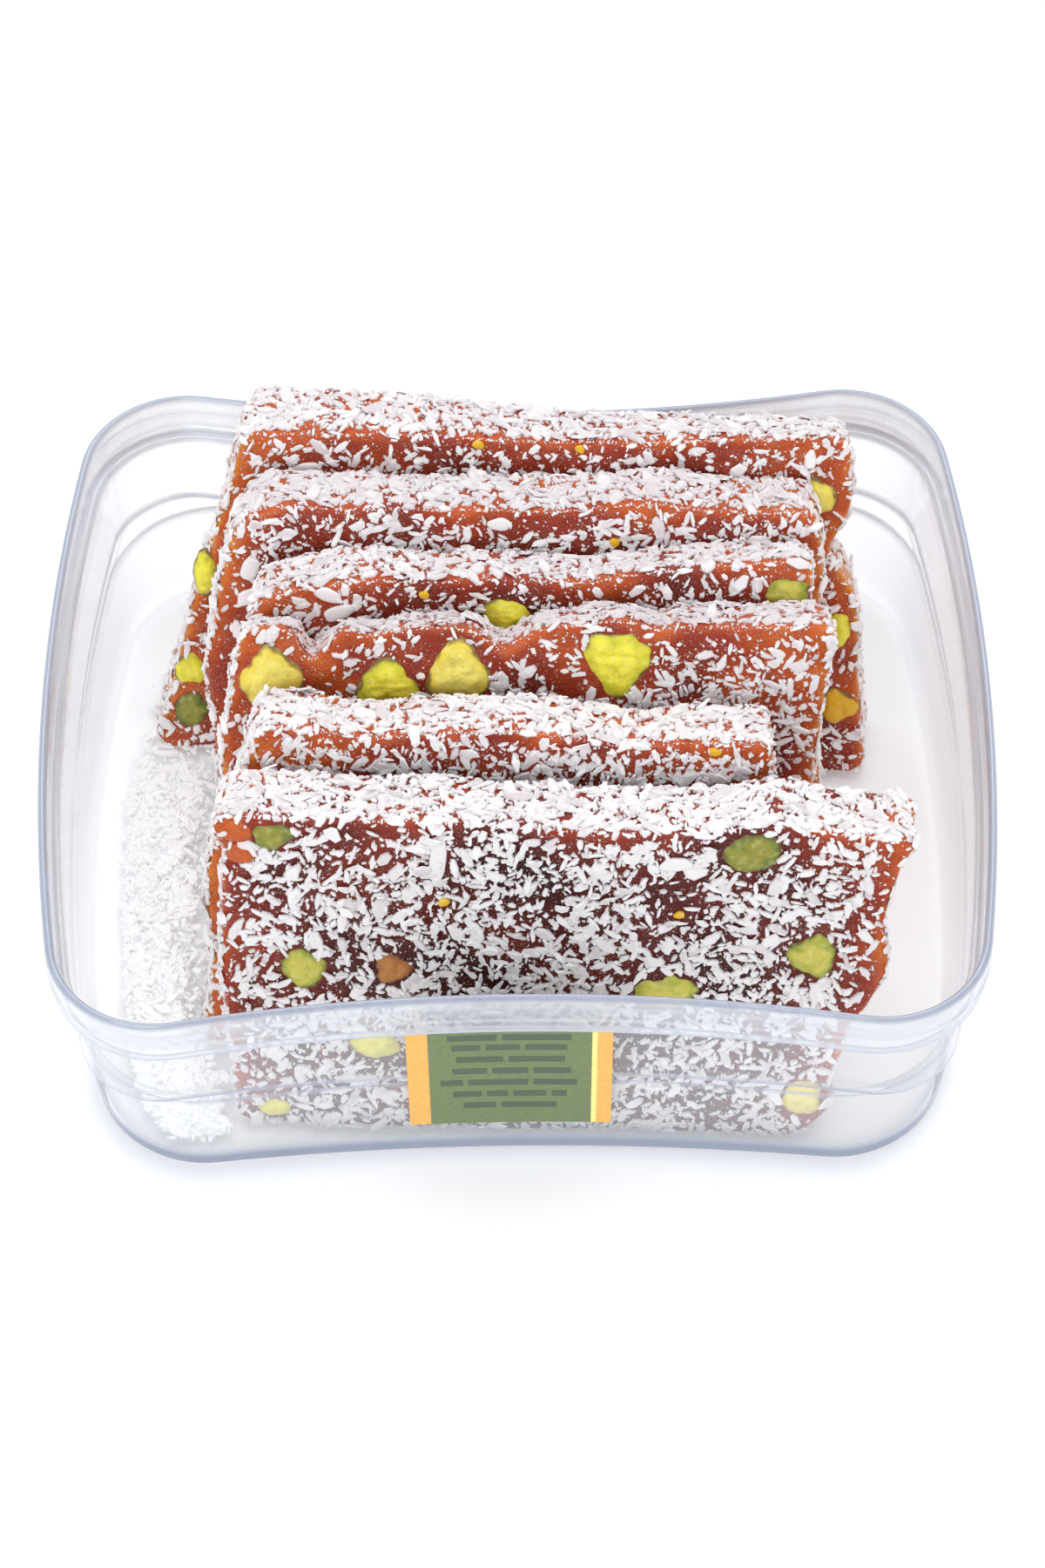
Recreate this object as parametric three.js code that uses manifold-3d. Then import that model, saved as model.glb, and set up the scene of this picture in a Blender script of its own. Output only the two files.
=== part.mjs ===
// Pistachio cezerye: six slabs of dark carrot sweet, rolled in coconut and set with pistachios,
// standing on their long edges and leaning back in a clear plastic tub with a paper label.
// Millimetres, +Z up. The origin is the middle of the tub's footprint, on the surface it stands on.
// +X is the right-hand side seen from the front, and the front faces -Y.
import * as THREE from 'three';
import { mergeVertices } from 'three/addons/utils/BufferGeometryUtils.js';
import Module from 'manifold-3d';

const wasm = await Module();
wasm.setup();

// ---- driving sizes ----

const GAP = 0.3; // clearance between pieces that touch in the real thing

// Half length, half depth and corner radius of the tub's outline, with how far its short sides
// bulge outwards and its long sides draw in at their middles.
const RIM = { a: 73.2, b: 68.3, r: 18.2, bulge: 6.8, waist: 7.8 };
const FOOT = { a: 69.1, b: 63.5, r: 17.8, bulge: 7.0, waist: 4.75 };
const TUB = {
  height: 52.7,
  wall: 1.0,
  floor: 1.2,
  skirt: 41.6, // height of the rim band's lower edge
  standOut: 2.0, // of the rim band beyond the wall below it
  shelf: 24.5, // height of the crescent shoulders at the corners
  shelfRise: 1.0, // half of the height that a shoulder slopes through
  radiusAbove: 12.5, // corner radius just above a shoulder
  radiusBelow: 21, // and just below it
  edge: 3.2, // rounding of the bottom edge
};
const CORNER_STEPS = 5;
const LONG_STEPS = 6;
const SHORT_STEPS = 4;

const LABEL = { left: -18.6, right: 15.2, bottom: 10.6, top: 40.4, thick: 0.25, gap: 0.35 };

const EDGE_ROUND = 1.3; // rounding of the slabs' edges
const STANDING = TUB.floor + GAP + 0.05; // height of the slabs' feet
const SLAB_STEPS = [5, 6, 19, 5]; // points along a slab's foot, right end, top and left end

// Coconut chips: thickness, how much of it stands above what they lie on, length of the largest
// and the smallest, width as a share of length, and how near their middles may lie to each other.
const CHIP = {
  thick: 0.9, proud: 0.5, longest: 7, shortest: 3.2, onEdges: 0.8, narrow: 0.38, wide: 0.7,
  spacing: 0.56, tries: 60,
};

// Each slab stands in its own plane: s runs to the right along it, v up its face. y is where its
// front face meets the floor, yaw its turn, and lean how far it leans back, both in degrees. left,
// right and top are the outline's edges at their two ends, and each wave is [place along the edge,
// height, half width] of a swelling or notch in that edge. slant is the drop of the top edge from
// front to back, at its left and right ends, and corners are the corner radii from the lower left.
const SLABS = [
  {
    name: 'slab_1', y: -56.4, yaw: -2.1, lean: 20, thick: 12.8, slant: [0, 0], corners: [3, 6, 2.6, 2.8],
    left: [-48.4, -48.4], right: [49.5, 62.2], top: [65.8, 63.9],
    leftWaves: [[34, 1.6, 16], [63, 1.4, 2.4]], rightWaves: [[7, 1.6, 5], [35, 3.2, 9], [62, 1.8, 2.6]],
    topWaves: [[12, -1, 9], [41, 2.4, 7]],
    chips: { front: 32, top: 11, left: 2, right: 3, back: 0, from: 4 },
  },
  {
    name: 'slab_2', y: -40.9, yaw: -1.5, lean: 22.5, thick: 11.8, slant: [0, 0], corners: [3, 3, 2.6, 3],
    left: [-55, -43], right: [44, 41.2], top: [66.6, 63.8],
    leftWaves: [[38, 4.1, 17]], rightWaves: [],
    topWaves: [[-25, -1.6, 8], [-1, 0.8, 5], [19, -1.4, 6]],
    chips: { front: 4, top: 9, left: 3, right: 2, back: 0, from: 59 },
  },
  {
    name: 'slab_3', y: -25.6, yaw: -0.5, lean: 25, thick: 11.6, slant: [4.5, 1.5], corners: [3, 3, 2.6, 2.8],
    left: [-53, -45.4], right: [47, 52.8], top: [69.7, 69.8],
    leftWaves: [[48, 2.2, 14]], rightWaves: [],
    topWaves: [[-33.2, -6, 3], [-24, -1.4, 3], [-0.6, -3.2, 2.6], [15, 1.2, 5], [23.7, -0.9, 2.5]],
    chips: { front: 9, top: 6, left: 3, right: 2, back: 0, from: 59 },
  },
  {
    name: 'slab_4', y: -10.4, yaw: -0.5, lean: 25, thick: 11.6, slant: [-1, 2.5], corners: [3, 3, 2.6, 2.8],
    left: [-50, -44.8], right: [48, 50], top: [62.6, 68.4],
    leftWaves: [], rightWaves: [],
    topWaves: [[-45, -2.4, 5], [-26, 1, 7], [12, -1.7, 12]],
    chips: { front: 7, top: 8, left: 2, right: 2, back: 0, from: 57 },
  },
  {
    name: 'slab_5', y: 4.8, yaw: -2, lean: 25, thick: 11.6, slant: [-1.4, -1.2], corners: [3, 3, 4, 8],
    left: [-54.2, -48.6], right: [54, 50.6], top: [64.2, 64.8],
    leftWaves: [[36, 3.6, 19]], rightWaves: [[55, 1.2, 7]],
    topWaves: [[23, 1.5, 9]],
    chips: { front: 8, top: 8, left: 3, right: 2, back: 0, from: 57 },
  },
  {
    name: 'slab_6', y: 20.2, yaw: -3.5, lean: 25, thick: 12.6, slant: [-4.5, 3], corners: [2.7, 3, 2.8, 2.8],
    left: [-66.4, -48.9], right: [63.2, 56.5], top: [63.8, 67.6],
    leftWaves: [[30, 0.6, 10]], rightWaves: [[45, -4.4, 6]],
    topWaves: [[12, -1.4, 22]],
    chips: { front: 7, top: 9, left: 3, right: 2, back: 9, from: 56 },
  },
];

// Pistachio pieces: the slab each is set in, its middle on the face, its size across and up the
// face, how many lobes its outline has, the turn of the first one in degrees, and its colour.
const PISTACHIOS = [
  { slab: 'slab_1', s: 37.1, v: 60.6, across: 9.2, up: 8.4, lobes: 2, turn: 20, colour: 0x75853a },
  { slab: 'slab_1', s: -36.3, v: 34.9, across: 7.8, up: 8.8, lobes: 4, turn: 10, colour: 0x8c9c45 },
  { slab: 'slab_1', s: 48, v: 39.6, across: 8, up: 8.8, lobes: 3, turn: 60, colour: 0x8f9e3c },
  { slab: 'slab_1', s: 23.6, v: 31.4, across: 10.8, up: 8, lobes: 2, turn: 0, colour: 0x86994a },
  { slab: 'slab_1', s: -40.8, v: 62, across: 7.2, up: 5.6, lobes: 3, turn: 20, colour: 0x66783c },
  { slab: 'slab_1', s: -24.5, v: 18.5, across: 8.6, up: 6.6, lobes: 2, turn: 0, colour: 0xb9c48a },
  { slab: 'slab_1', s: 47.6, v: 9, across: 7.2, up: 8.6, lobes: 4, turn: 40, colour: 0xd9c37a },
  { slab: 'slab_1', s: -42, v: 4, across: 5.6, up: 4.4, lobes: 2, turn: 0, colour: 0xb3ab72 },
  { slab: 'slab_3', s: -41.4, v: 59.6, across: 10.6, up: 12.6, lobes: 4, turn: 0, colour: 0xe0c04e },
  { slab: 'slab_3', s: -21.8, v: 58.2, across: 10.4, up: 10.6, lobes: 3, turn: 90, colour: 0xb6c43a },
  { slab: 'slab_3', s: -10, v: 61, across: 10.4, up: 11.8, lobes: 3, turn: 90, colour: 0xccc552 },
  { slab: 'slab_3', s: 16.5, v: 63, across: 11.2, up: 12.4, lobes: 3, turn: 270, colour: 0xc6cb4c },
  { slab: 'slab_4', s: -1.7, v: 57.8, across: 8.4, up: 8, lobes: 3, turn: 30, colour: 0xa9b83a },
  { slab: 'slab_4', s: 45.8, v: 62.6, across: 7.4, up: 5, lobes: 4, turn: 45, colour: 0x9db33c },
  { slab: 'slab_6', s: 51.4, v: 55.6, across: 6.6, up: 8, lobes: 3, turn: 0, colour: 0xb2bd4d },
  { slab: 'slab_6', s: -56.4, v: 36, across: 4.6, up: 8.6, lobes: 2, turn: 90, colour: 0xb4b838 },
  { slab: 'slab_6', s: -59.5, v: 16.4, across: 6, up: 6.6, lobes: 3, turn: 90, colour: 0xb1ab3c },
  { slab: 'slab_6', s: -59.7, v: 7.8, across: 6.4, up: 7, lobes: 2, turn: 60, colour: 0x77803a },
  { slab: 'slab_6', s: 57, v: 29.8, across: 4.6, up: 8, lobes: 2, turn: 90, colour: 0xb3ae3e },
  { slab: 'slab_6', s: 57.8, v: 14, across: 6.6, up: 7, lobes: 3, turn: 0, colour: 0xe2bc2c },
];
const NUT_BIT = {
  slab: 'slab_1', s: -21.4, v: 34.9, across: 6.4, up: 6, lobes: 3, turn: 0, colour: 0xa5683c,
};
// How far a nut piece goes into its slab and stands out of it, how far its widest ring lies behind
// the slab's face, its points around and from pole to pole, and how deep three and other lobes are.
const KERNEL = { deep: 4.6, proud: 0.9, behind: 0.1, around: 10, bands: 6, threeLobes: 0.13, lobes: 0.07 };

// The loose coconut lies on the tub's floor beside the slabs' left ends.
const BED = {
  front: -57, back: 19, // reach in y
  wallGap: 1.4, // clear of the tub's side
  slabEdge: -57.6, // its inner edge beside the longer slabs
  frontEdge: -51.6, // and beside the front slab, which is shorter
  turnAt: -43, turnOver: 6, // where the one edge passes into the other
  deep: 3.4, shallow: 0.9, // height at its inner edge and at the tub's side
  across: 6, along: 15, // cells
  chips: 23,
  tilt: 0.35, // the most that a chip lies askew, in radians
};

const COLOUR = { tub: 0xdfe6f0, label: 0x55784b, gel: 0x6e2516, coconut: 0xf3f1ec };

// ---- helpers ----

/** A seeded draw of numbers from 0 to 1, so that every build is the same. */
function seeded(seed) {
  let state = seed >>> 0;
  return () => {
    state = (state + 0x6d2b79f5) >>> 0;
    let t = state;
    t = Math.imul(t ^ (t >>> 15), t | 1);
    t ^= t + Math.imul(t ^ (t >>> 7), t | 61);
    return ((t ^ (t >>> 14)) >>> 0) / 4294967296;
  };
}

const between = (draw, low, high) => low + (high - low) * draw();
const lerp = THREE.MathUtils.lerp;

/** The sum of rounded swellings and notches at one place along an edge. */
function waveHeight(waves, at) {
  let sum = 0;
  for (const [middle, height, half] of waves) sum += height * Math.exp(-(((at - middle) / half) ** 2));
  return sum;
}

/** A geometry of bare triangles, its shared corners merged. */
function closedGeometry(positions, indices) {
  const geometry = new THREE.BufferGeometry();
  geometry.setAttribute('position', new THREE.Float32BufferAttribute(positions, 3));
  if (indices) geometry.setIndex(indices);
  return mergeVertices(geometry, 1e-4);
}

/** The same shape with nothing but positions. */
function bare(geometry) {
  geometry.deleteAttribute('normal');
  geometry.deleteAttribute('uv');
  return mergeVertices(geometry, 1e-4);
}

function toSolid(geometry) {
  return new wasm.Manifold(new wasm.Mesh({
    numProp: 3,
    vertProperties: new Float32Array(geometry.attributes.position.array),
    triVerts: new Uint32Array(geometry.index.array),
  }));
}

/** The largest body of a cut or joined solid as a geometry; loose scraps are dropped. */
function toGeometry(solid) {
  const bodies = solid.decompose().sort((a, b) => b.volume() - a.volume());
  const mesh = bodies[0].getMesh();
  return closedGeometry(Array.from(mesh.vertProperties), Array.from(mesh.triVerts));
}

function named(name, geometry, colour, roughness = 0.6, extra = {}) {
  geometry.computeVertexNormals();
  const material = new THREE.MeshStandardMaterial({ color: colour, roughness, metalness: 0, ...extra });
  const mesh = new THREE.Mesh(geometry, material);
  mesh.name = name;
  return mesh;
}

// ---- tub ----

/** Points once round a rounded rectangle, its short sides bulged and its long sides waisted. */
function outline({ a, b, r, bulge, waist }) {
  const points = [];
  const centres = [[a - r, b - r], [-(a - r), b - r], [-(a - r), -(b - r)], [a - r, -(b - r)]];
  centres.forEach(([x, y], quarter) => {
    for (let i = 0; i <= CORNER_STEPS; i++) {
      const angle = (quarter + i / CORNER_STEPS) * Math.PI / 2;
      points.push([x + r * Math.cos(angle), y + r * Math.sin(angle)]);
    }
    const [endX, endY] = points.at(-1);
    const next = centres[(quarter + 1) % 4];
    const after = (quarter + 1) * Math.PI / 2;
    const toX = next[0] + r * Math.cos(after);
    const toY = next[1] + r * Math.sin(after);
    const steps = quarter % 2 === 0 ? LONG_STEPS : SHORT_STEPS;
    for (let i = 1; i < steps; i++) points.push([lerp(endX, toX, i / steps), lerp(endY, toY, i / steps)]);
  });
  return points.map(([x, y]) => [
    x * (1 + (bulge / a) * (1 - (y / b) ** 2)),
    y * (1 - (waist / b) * (1 - (x / a) ** 2)),
  ]);
}

const inset = (size, by) => ({ ...size, a: size.a - by, b: size.b - by, r: size.r - by });

/** The wall's outer outline at a height below the rim band. */
function wallSize(z, r) {
  const head = inset(RIM, TUB.standOut);
  const t = z / TUB.skirt;
  const size = { r };
  for (const key of ['a', 'b', 'bulge', 'waist']) size[key] = lerp(FOOT[key], head[key], t);
  return size;
}

/** The tub's wall as outlines in order: under the foot, up outside, over the rim and down inside. */
function tubRings() {
  const { height, wall, floor, skirt, standOut, shelf, shelfRise, radiusAbove, radiusBelow, edge } = TUB;
  const low = shelf - shelfRise;
  const high = shelf + shelfRise;
  const lift = 0.7 * wall; // keeps the shoulder as thick as the wall
  return [
    [0, inset(FOOT, edge)],
    [0.3 * edge, inset(FOOT, 0.3 * edge)],
    [edge, wallSize(edge, FOOT.r)],
    [low, wallSize(low, radiusBelow)],
    [high, wallSize(high, radiusAbove)],
    [skirt + 0.3, inset(RIM, standOut)],
    [skirt, inset(RIM, 0.4)],
    [skirt + 0.8, RIM],
    [46.3, RIM],
    [46.9, inset(RIM, -0.4)],
    [47.5, RIM],
    [height - 0.8, RIM],
    [height, inset(RIM, 0.5)],
    [height, inset(RIM, 1.1)],
    [height - 0.8, inset(RIM, 1.5)],
    [46.4, inset(RIM, 1.9)],
    [45.2, inset(RIM, standOut + wall)],
    [high + lift, inset(wallSize(high, radiusAbove), wall)],
    [low + lift, inset(wallSize(low, radiusBelow), wall)],
    [edge + 0.6, inset(wallSize(edge, FOOT.r), wall)],
    [floor + 0.25 * edge, inset(FOOT, 0.62 * edge)],
    [floor, inset(FOOT, 1.3 * edge)],
  ];
}

function tubGeometry() {
  const rings = tubRings().map(([z, size]) => outline(size).map(([x, y]) => [x, y, z]));
  const count = rings[0].length;
  const positions = [0, 0, 0, ...rings.flat(2), 0, 0, TUB.floor];
  const last = 1 + rings.length * count;
  const indices = [];
  const at = (ring, i) => 1 + ring * count + (i % count);
  for (let i = 0; i < count; i++) {
    indices.push(0, at(0, i + 1), at(0, i));
    indices.push(last, at(rings.length - 1, i), at(rings.length - 1, i + 1));
    for (let ring = 0; ring + 1 < rings.length; ring++) {
      indices.push(at(ring, i), at(ring, i + 1), at(ring + 1, i + 1));
      indices.push(at(ring, i), at(ring + 1, i + 1), at(ring + 1, i));
    }
  }
  return closedGeometry(positions, indices);
}

/** How far the front wall's outer face stands from the middle at a place on it. */
function frontWall(x, z) {
  const { a, b, waist } = wallSize(z, FOOT.r);
  return b - waist * (1 - (x / a) ** 2);
}

/** A closed plate over a grid of cells: face(u, w) is its outer skin and back(u, w) its inner one. */
function plate(across, up, face, back) {
  const positions = [];
  for (const skin of [face, back]) {
    for (let j = 0; j <= up; j++) {
      for (let i = 0; i <= across; i++) positions.push(...skin(i / across, j / up));
    }
  }
  const layer = (across + 1) * (up + 1);
  const at = (i, j, skin = 0) => skin * layer + j * (across + 1) + i;
  const indices = [];
  const quad = (p, q, r, s) => indices.push(p, q, r, p, r, s);
  for (let j = 0; j < up; j++) {
    for (let i = 0; i < across; i++) {
      quad(at(i, j), at(i + 1, j), at(i + 1, j + 1), at(i, j + 1));
      quad(at(i, j, 1), at(i, j + 1, 1), at(i + 1, j + 1, 1), at(i + 1, j, 1));
    }
    quad(at(0, j, 1), at(0, j), at(0, j + 1), at(0, j + 1, 1));
    quad(at(across, j), at(across, j, 1), at(across, j + 1, 1), at(across, j + 1));
  }
  for (let i = 0; i < across; i++) {
    quad(at(i, 0, 1), at(i + 1, 0, 1), at(i + 1, 0), at(i, 0));
    quad(at(i, up), at(i + 1, up), at(i + 1, up, 1), at(i, up, 1));
  }
  return closedGeometry(positions, indices);
}

/** A thin paper label that follows the front wall, just under the rim band. */
function labelGeometry() {
  const skin = (out) => (u, w) => {
    const x = lerp(LABEL.left, LABEL.right, u);
    const z = lerp(LABEL.bottom, LABEL.top, w);
    return [x, -(frontWall(x, z) + out), z];
  };
  return plate(8, 4, skin(LABEL.gap + LABEL.thick), skin(LABEL.gap));
}

// ---- slabs ----

/** The slab's outline on its face: four wavy edges joined by rounded corners. */
function slabShape(slab) {
  const { left, right, top } = slab;
  const corners = [[left[0], 0], [right[0], 0], [right[1], top[1]], [left[1], top[0]]];
  const waves = [
    () => [0, 0],
    (s, v) => [waveHeight(slab.rightWaves, v), 0],
    (s) => [0, waveHeight(slab.topWaves, s)],
    (s, v) => [-waveHeight(slab.leftWaves, v), 0],
  ];
  const edgePoint = (edge, t) => {
    const [from, to] = [corners[edge], corners[(edge + 1) % 4]];
    const [s, v] = [lerp(from[0], to[0], t), lerp(from[1], to[1], t)];
    const [ds, dv] = waves[edge](s, v);
    return new THREE.Vector2(s + ds, v + dv);
  };
  const length = (edge) => Math.hypot(
    corners[edge][0] - corners[(edge + 1) % 4][0], corners[edge][1] - corners[(edge + 1) % 4][1]);
  const points = [];
  for (let edge = 0; edge < 4; edge++) {
    const next = (edge + 1) % 4;
    const start = slab.corners[edge] / length(edge);
    const end = 1 - slab.corners[next] / length(edge);
    const steps = SLAB_STEPS[edge];
    for (let i = 0; i <= steps; i++) points.push(edgePoint(edge, lerp(start, end, i / steps)));
    const from = points.at(-1);
    const to = edgePoint(next, slab.corners[next] / length(next));
    const tip = new THREE.Vector2(
      edge % 2 === 0 ? to.x : from.x, edge % 2 === 0 ? from.y : to.y);
    const bend = new THREE.QuadraticBezierCurve(from, tip, to);
    points.push(bend.getPoint(0.35), bend.getPoint(0.65));
  }
  return new THREE.Shape(points);
}

/** The drop of the top edge from front to back at a share of its length. */
const topSlant = (slab, along) => lerp(slab.slant[0], slab.slant[1], along);

/** Settles a point of the square-cut slab: its foot is flat on the floor and its top may slant. */
function settle(slab, point) {
  const behind = slab.thick - point.z;
  const height = Math.max(slab.top[0], slab.top[1]);
  const share = THREE.MathUtils.clamp(point.y / height, 0, 1);
  const foot = Math.tan(THREE.MathUtils.degToRad(slab.lean)) * behind * (1 - share) ** 3;
  const along = THREE.MathUtils.clamp((point.x - slab.left[1]) / (slab.right[1] - slab.left[1]), 0, 1);
  point.y += foot - topSlant(slab, along) * (behind / slab.thick) * share ** 3;
  return point;
}

function settled(slab, geometry) {
  const position = geometry.attributes.position;
  const point = new THREE.Vector3();
  for (let i = 0; i < position.count; i++) {
    settle(slab, point.fromBufferAttribute(position, i));
    position.setXYZ(i, point.x, point.y, point.z);
  }
  return geometry;
}

function slabCore(slab) {
  const body = new THREE.ExtrudeGeometry(slabShape(slab), {
    depth: slab.thick - 2 * EDGE_ROUND,
    bevelThickness: EDGE_ROUND,
    bevelSize: EDGE_ROUND,
    bevelOffset: -EDGE_ROUND,
    bevelSegments: 1,
  });
  body.translate(0, 0, EDGE_ROUND);
  return settled(slab, bare(body));
}

/** A coconut chip: a thin plate of uneven outline, lying flat with its top at CHIP.proud. */
function chipGeometry(draw, long) {
  const sides = 5 + Math.floor(2 * draw());
  const wide = long * between(draw, CHIP.narrow, CHIP.wide);
  const points = [];
  for (let i = 0; i < sides; i++) {
    const angle = (i + between(draw, -0.25, 0.25)) * 2 * Math.PI / sides;
    const reach = between(draw, 0.8, 1.1);
    points.push(new THREE.Vector2(long / 2 * reach * Math.cos(angle), wide / 2 * reach * Math.sin(angle)));
  }
  const chip = new THREE.ExtrudeGeometry(new THREE.Shape(points), { depth: CHIP.thick, bevelEnabled: false });
  chip.translate(0, 0, CHIP.proud - CHIP.thick);
  return bare(chip);
}

/** A place on one side of the slab, in its own frame, with the direction that faces out there. */
function slabPlace(slab, side, draw) {
  const { left, right, top, thick, chips } = slab;
  const margin = 5; // keeps chips off the corners
  const t = between(draw, 0.05, 0.95);
  const depth = between(draw, 0.24, 0.76) * thick;
  if (side === 'front' || side === 'back') {
    const from = side === 'front' ? chips.from : 2 * margin;
    const s = lerp(left[0] + margin, right[0] - margin, t);
    const roof = lerp(top[0], top[1], t) + waveHeight(slab.topWaves, s) - margin;
    const v = between(draw, from, Math.max(from + 1, roof));
    const out = side === 'front' ? 1 : -1;
    return { at: new THREE.Vector3(s, v, side === 'front' ? thick : 0), out: new THREE.Vector3(0, 0, out) };
  }
  if (side === 'top') {
    const s = lerp(left[1] + margin, right[1] - margin, t);
    const roof = lerp(top[0], top[1], (s - left[1]) / (right[1] - left[1]));
    const at = new THREE.Vector3(s, roof + waveHeight(slab.topWaves, s), depth);
    return { at, out: new THREE.Vector3(0, 1, -topSlant(slab, t) / thick).normalize() };
  }
  const [edge, height, waves, sign] = side === 'left'
    ? [left, top[0], slab.leftWaves, -1]
    : [right, top[1], slab.rightWaves, 1];
  const v = lerp(margin, height - margin, t);
  const s = lerp(edge[0], edge[1], v / height) + sign * waveHeight(waves, v);
  const tilt = -sign * (edge[1] - edge[0]) / height;
  return { at: new THREE.Vector3(s, v, depth), out: new THREE.Vector3(sign, tilt, 0).normalize() };
}

/** Coconut chips spread over a slab's sides, largest first, clear of each other and of the nuts. */
function slabChips(slab, nuts, draw) {
  const solids = [];
  const taken = nuts.map((nut) => ({
    at: new THREE.Vector3(nut.s, nut.v, slab.thick), reach: Math.max(nut.across, nut.up) / 2 + GAP,
  }));
  for (const side of ['front', 'top', 'left', 'right', 'back']) {
    const count = slab.chips[side];
    const scale = side === 'front' || side === 'back' ? 1 : CHIP.onEdges;
    for (let i = 0; i < count; i++) {
      const long = lerp(CHIP.longest, CHIP.shortest, Math.sqrt(i / count)) * scale;
      for (let tries = 0; tries < CHIP.tries; tries++) {
        const { at, out } = slabPlace(slab, side, draw);
        settle(slab, at);
        const reach = long * CHIP.spacing;
        if (taken.some((other) => other.at.distanceTo(at) < other.reach + reach)) continue;
        taken.push({ at, reach });
        const turn = new THREE.Quaternion().setFromUnitVectors(new THREE.Vector3(0, 0, 1), out);
        const spin = new THREE.Quaternion().setFromAxisAngle(out, between(draw, 0, Math.PI));
        const chip = chipGeometry(draw, long);
        chip.applyMatrix4(new THREE.Matrix4().compose(at, spin.multiply(turn), new THREE.Vector3(1, 1, 1)));
        solids.push(toSolid(chip));
        break;
      }
    }
  }
  return solids;
}

// ---- pistachios ----

/** A piece of pistachio in its slab's frame: a lobed nugget, proud of the face and deep behind it. */
function kernelGeometry(nut, slab, extra = 0) {
  const ball = bare(new THREE.SphereGeometry(1, KERNEL.around, KERNEL.bands).rotateX(Math.PI / 2));
  const position = ball.attributes.position;
  const turn = THREE.MathUtils.degToRad(nut.turn);
  const lobe = nut.lobes === 3 ? KERNEL.threeLobes : KERNEL.lobes;
  for (let i = 0; i < position.count; i++) {
    const [x, y, z] = [position.getX(i), position.getY(i), position.getZ(i)];
    const angle = Math.atan2(y, x);
    const swell = 1 + lobe * Math.cos(nut.lobes * (angle - turn));
    const reach = z > 0 ? KERNEL.proud : KERNEL.deep;
    position.setXYZ(
      i,
      nut.s + x * swell * (nut.across / 2 + extra),
      nut.v + y * swell * (nut.up / 2 + extra),
      slab.thick - KERNEL.behind + z * (reach + extra));
  }
  return ball;
}

// ---- loose coconut ----

/** The inner face of the tub's floor at one y: how far it reaches from the middle to the side. */
function floorReach(y) {
  const { a, b, r, bulge } = inset(FOOT, 1.3 * TUB.edge);
  const beyond = Math.max(0, Math.abs(y) - (b - r));
  const straight = a - r + Math.sqrt(Math.max(0, r * r - beyond * beyond));
  return straight * (1 + (bulge / a) * (1 - (y / b) ** 2));
}

function bedPlace(u, w) {
  const y = lerp(BED.front, BED.back, w);
  const turned = 1 / (1 + Math.exp((y - BED.turnAt) / BED.turnOver * 4));
  const inner = lerp(BED.slabEdge, BED.frontEdge, turned);
  const outer = Math.min(-(floorReach(y) - BED.wallGap), inner - 2);
  return [lerp(outer, inner, u), y];
}

/** Height of the loose coconut over the floor: deepest beside the slabs, with uneven lumps. */
function bedHeight(u, w) {
  const slope = lerp(BED.shallow, BED.deep, Math.sin(u * Math.PI / 2));
  const ends = Math.min(1, 6 * w, 6 * (1 - w), 10 * (1 - u) + 0.35);
  const lumps = 1 + 0.24 * Math.sin(11 * u + 17 * w) + 0.2 * Math.sin(7 * u - 31 * w + 1);
  return 0.3 + slope * ends * lumps;
}

function bedGeometry() {
  const base = TUB.floor + GAP;
  const core = toSolid(plate(
    BED.across, BED.along,
    (u, w) => [...bedPlace(u, w), base + bedHeight(u, w)],
    (u, w) => [...bedPlace(u, w), base]));
  const draw = seeded(77);
  const solids = [core];
  for (let i = 0; i < BED.chips; i++) {
    const u = between(draw, 0.18, 0.8);
    const w = lerp(0.04, 0.96, (i + between(draw, 0.2, 0.8)) / BED.chips);
    const [x, y] = bedPlace(u, w);
    const chip = chipGeometry(draw, between(draw, CHIP.shortest, CHIP.longest - 1));
    chip.rotateX(between(draw, -BED.tilt, BED.tilt)).rotateY(between(draw, -BED.tilt, BED.tilt));
    chip.rotateZ(between(draw, 0, Math.PI));
    chip.translate(x, y, base + Math.max(1.2, bedHeight(u, w)) + 0.1); // clear of the floor
    solids.push(toSolid(chip));
  }
  return toGeometry(wasm.Manifold.union(solids));
}

// ---- assembly ----

const model = new THREE.Group();
model.add(named('tub', tubGeometry(), COLOUR.tub, 0.12, { transparent: true, opacity: 0.3 }));
model.add(named('label', labelGeometry(), COLOUR.label, 0.5));
model.add(named('loose_coconut', bedGeometry(), COLOUR.coconut, 0.9));

SLABS.forEach((slab, index) => {
  const stand = new THREE.Group();
  stand.position.set(0, slab.y, STANDING);
  stand.rotation.z = THREE.MathUtils.degToRad(slab.yaw);
  const leaning = new THREE.Group();
  leaning.rotation.x = Math.PI / 2 - THREE.MathUtils.degToRad(slab.lean);
  const body = new THREE.Group();
  body.position.z = -slab.thick;
  model.add(stand);
  stand.add(leaning);
  leaning.add(body);

  const nuts = [...PISTACHIOS, NUT_BIT].filter((nut) => nut.slab === slab.name);
  const chips = slabChips(slab, nuts, seeded(100 + index));
  const pockets = nuts.map((nut) => toSolid(kernelGeometry(nut, slab, GAP)));
  let solid = wasm.Manifold.union([toSolid(slabCore(slab)), ...chips]);
  for (const pocket of pockets) solid = solid.subtract(pocket);
  body.add(named(slab.name, toGeometry(solid), COLOUR.gel, 0.45));
  nuts.forEach((nut, i) => {
    const name = nut === NUT_BIT ? 'nut_bit' : `pistachio_${index + 1}_${i + 1}`;
    body.add(named(name, kernelGeometry(nut, slab), nut.colour, 0.55));
  });
});

export default model;
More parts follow.
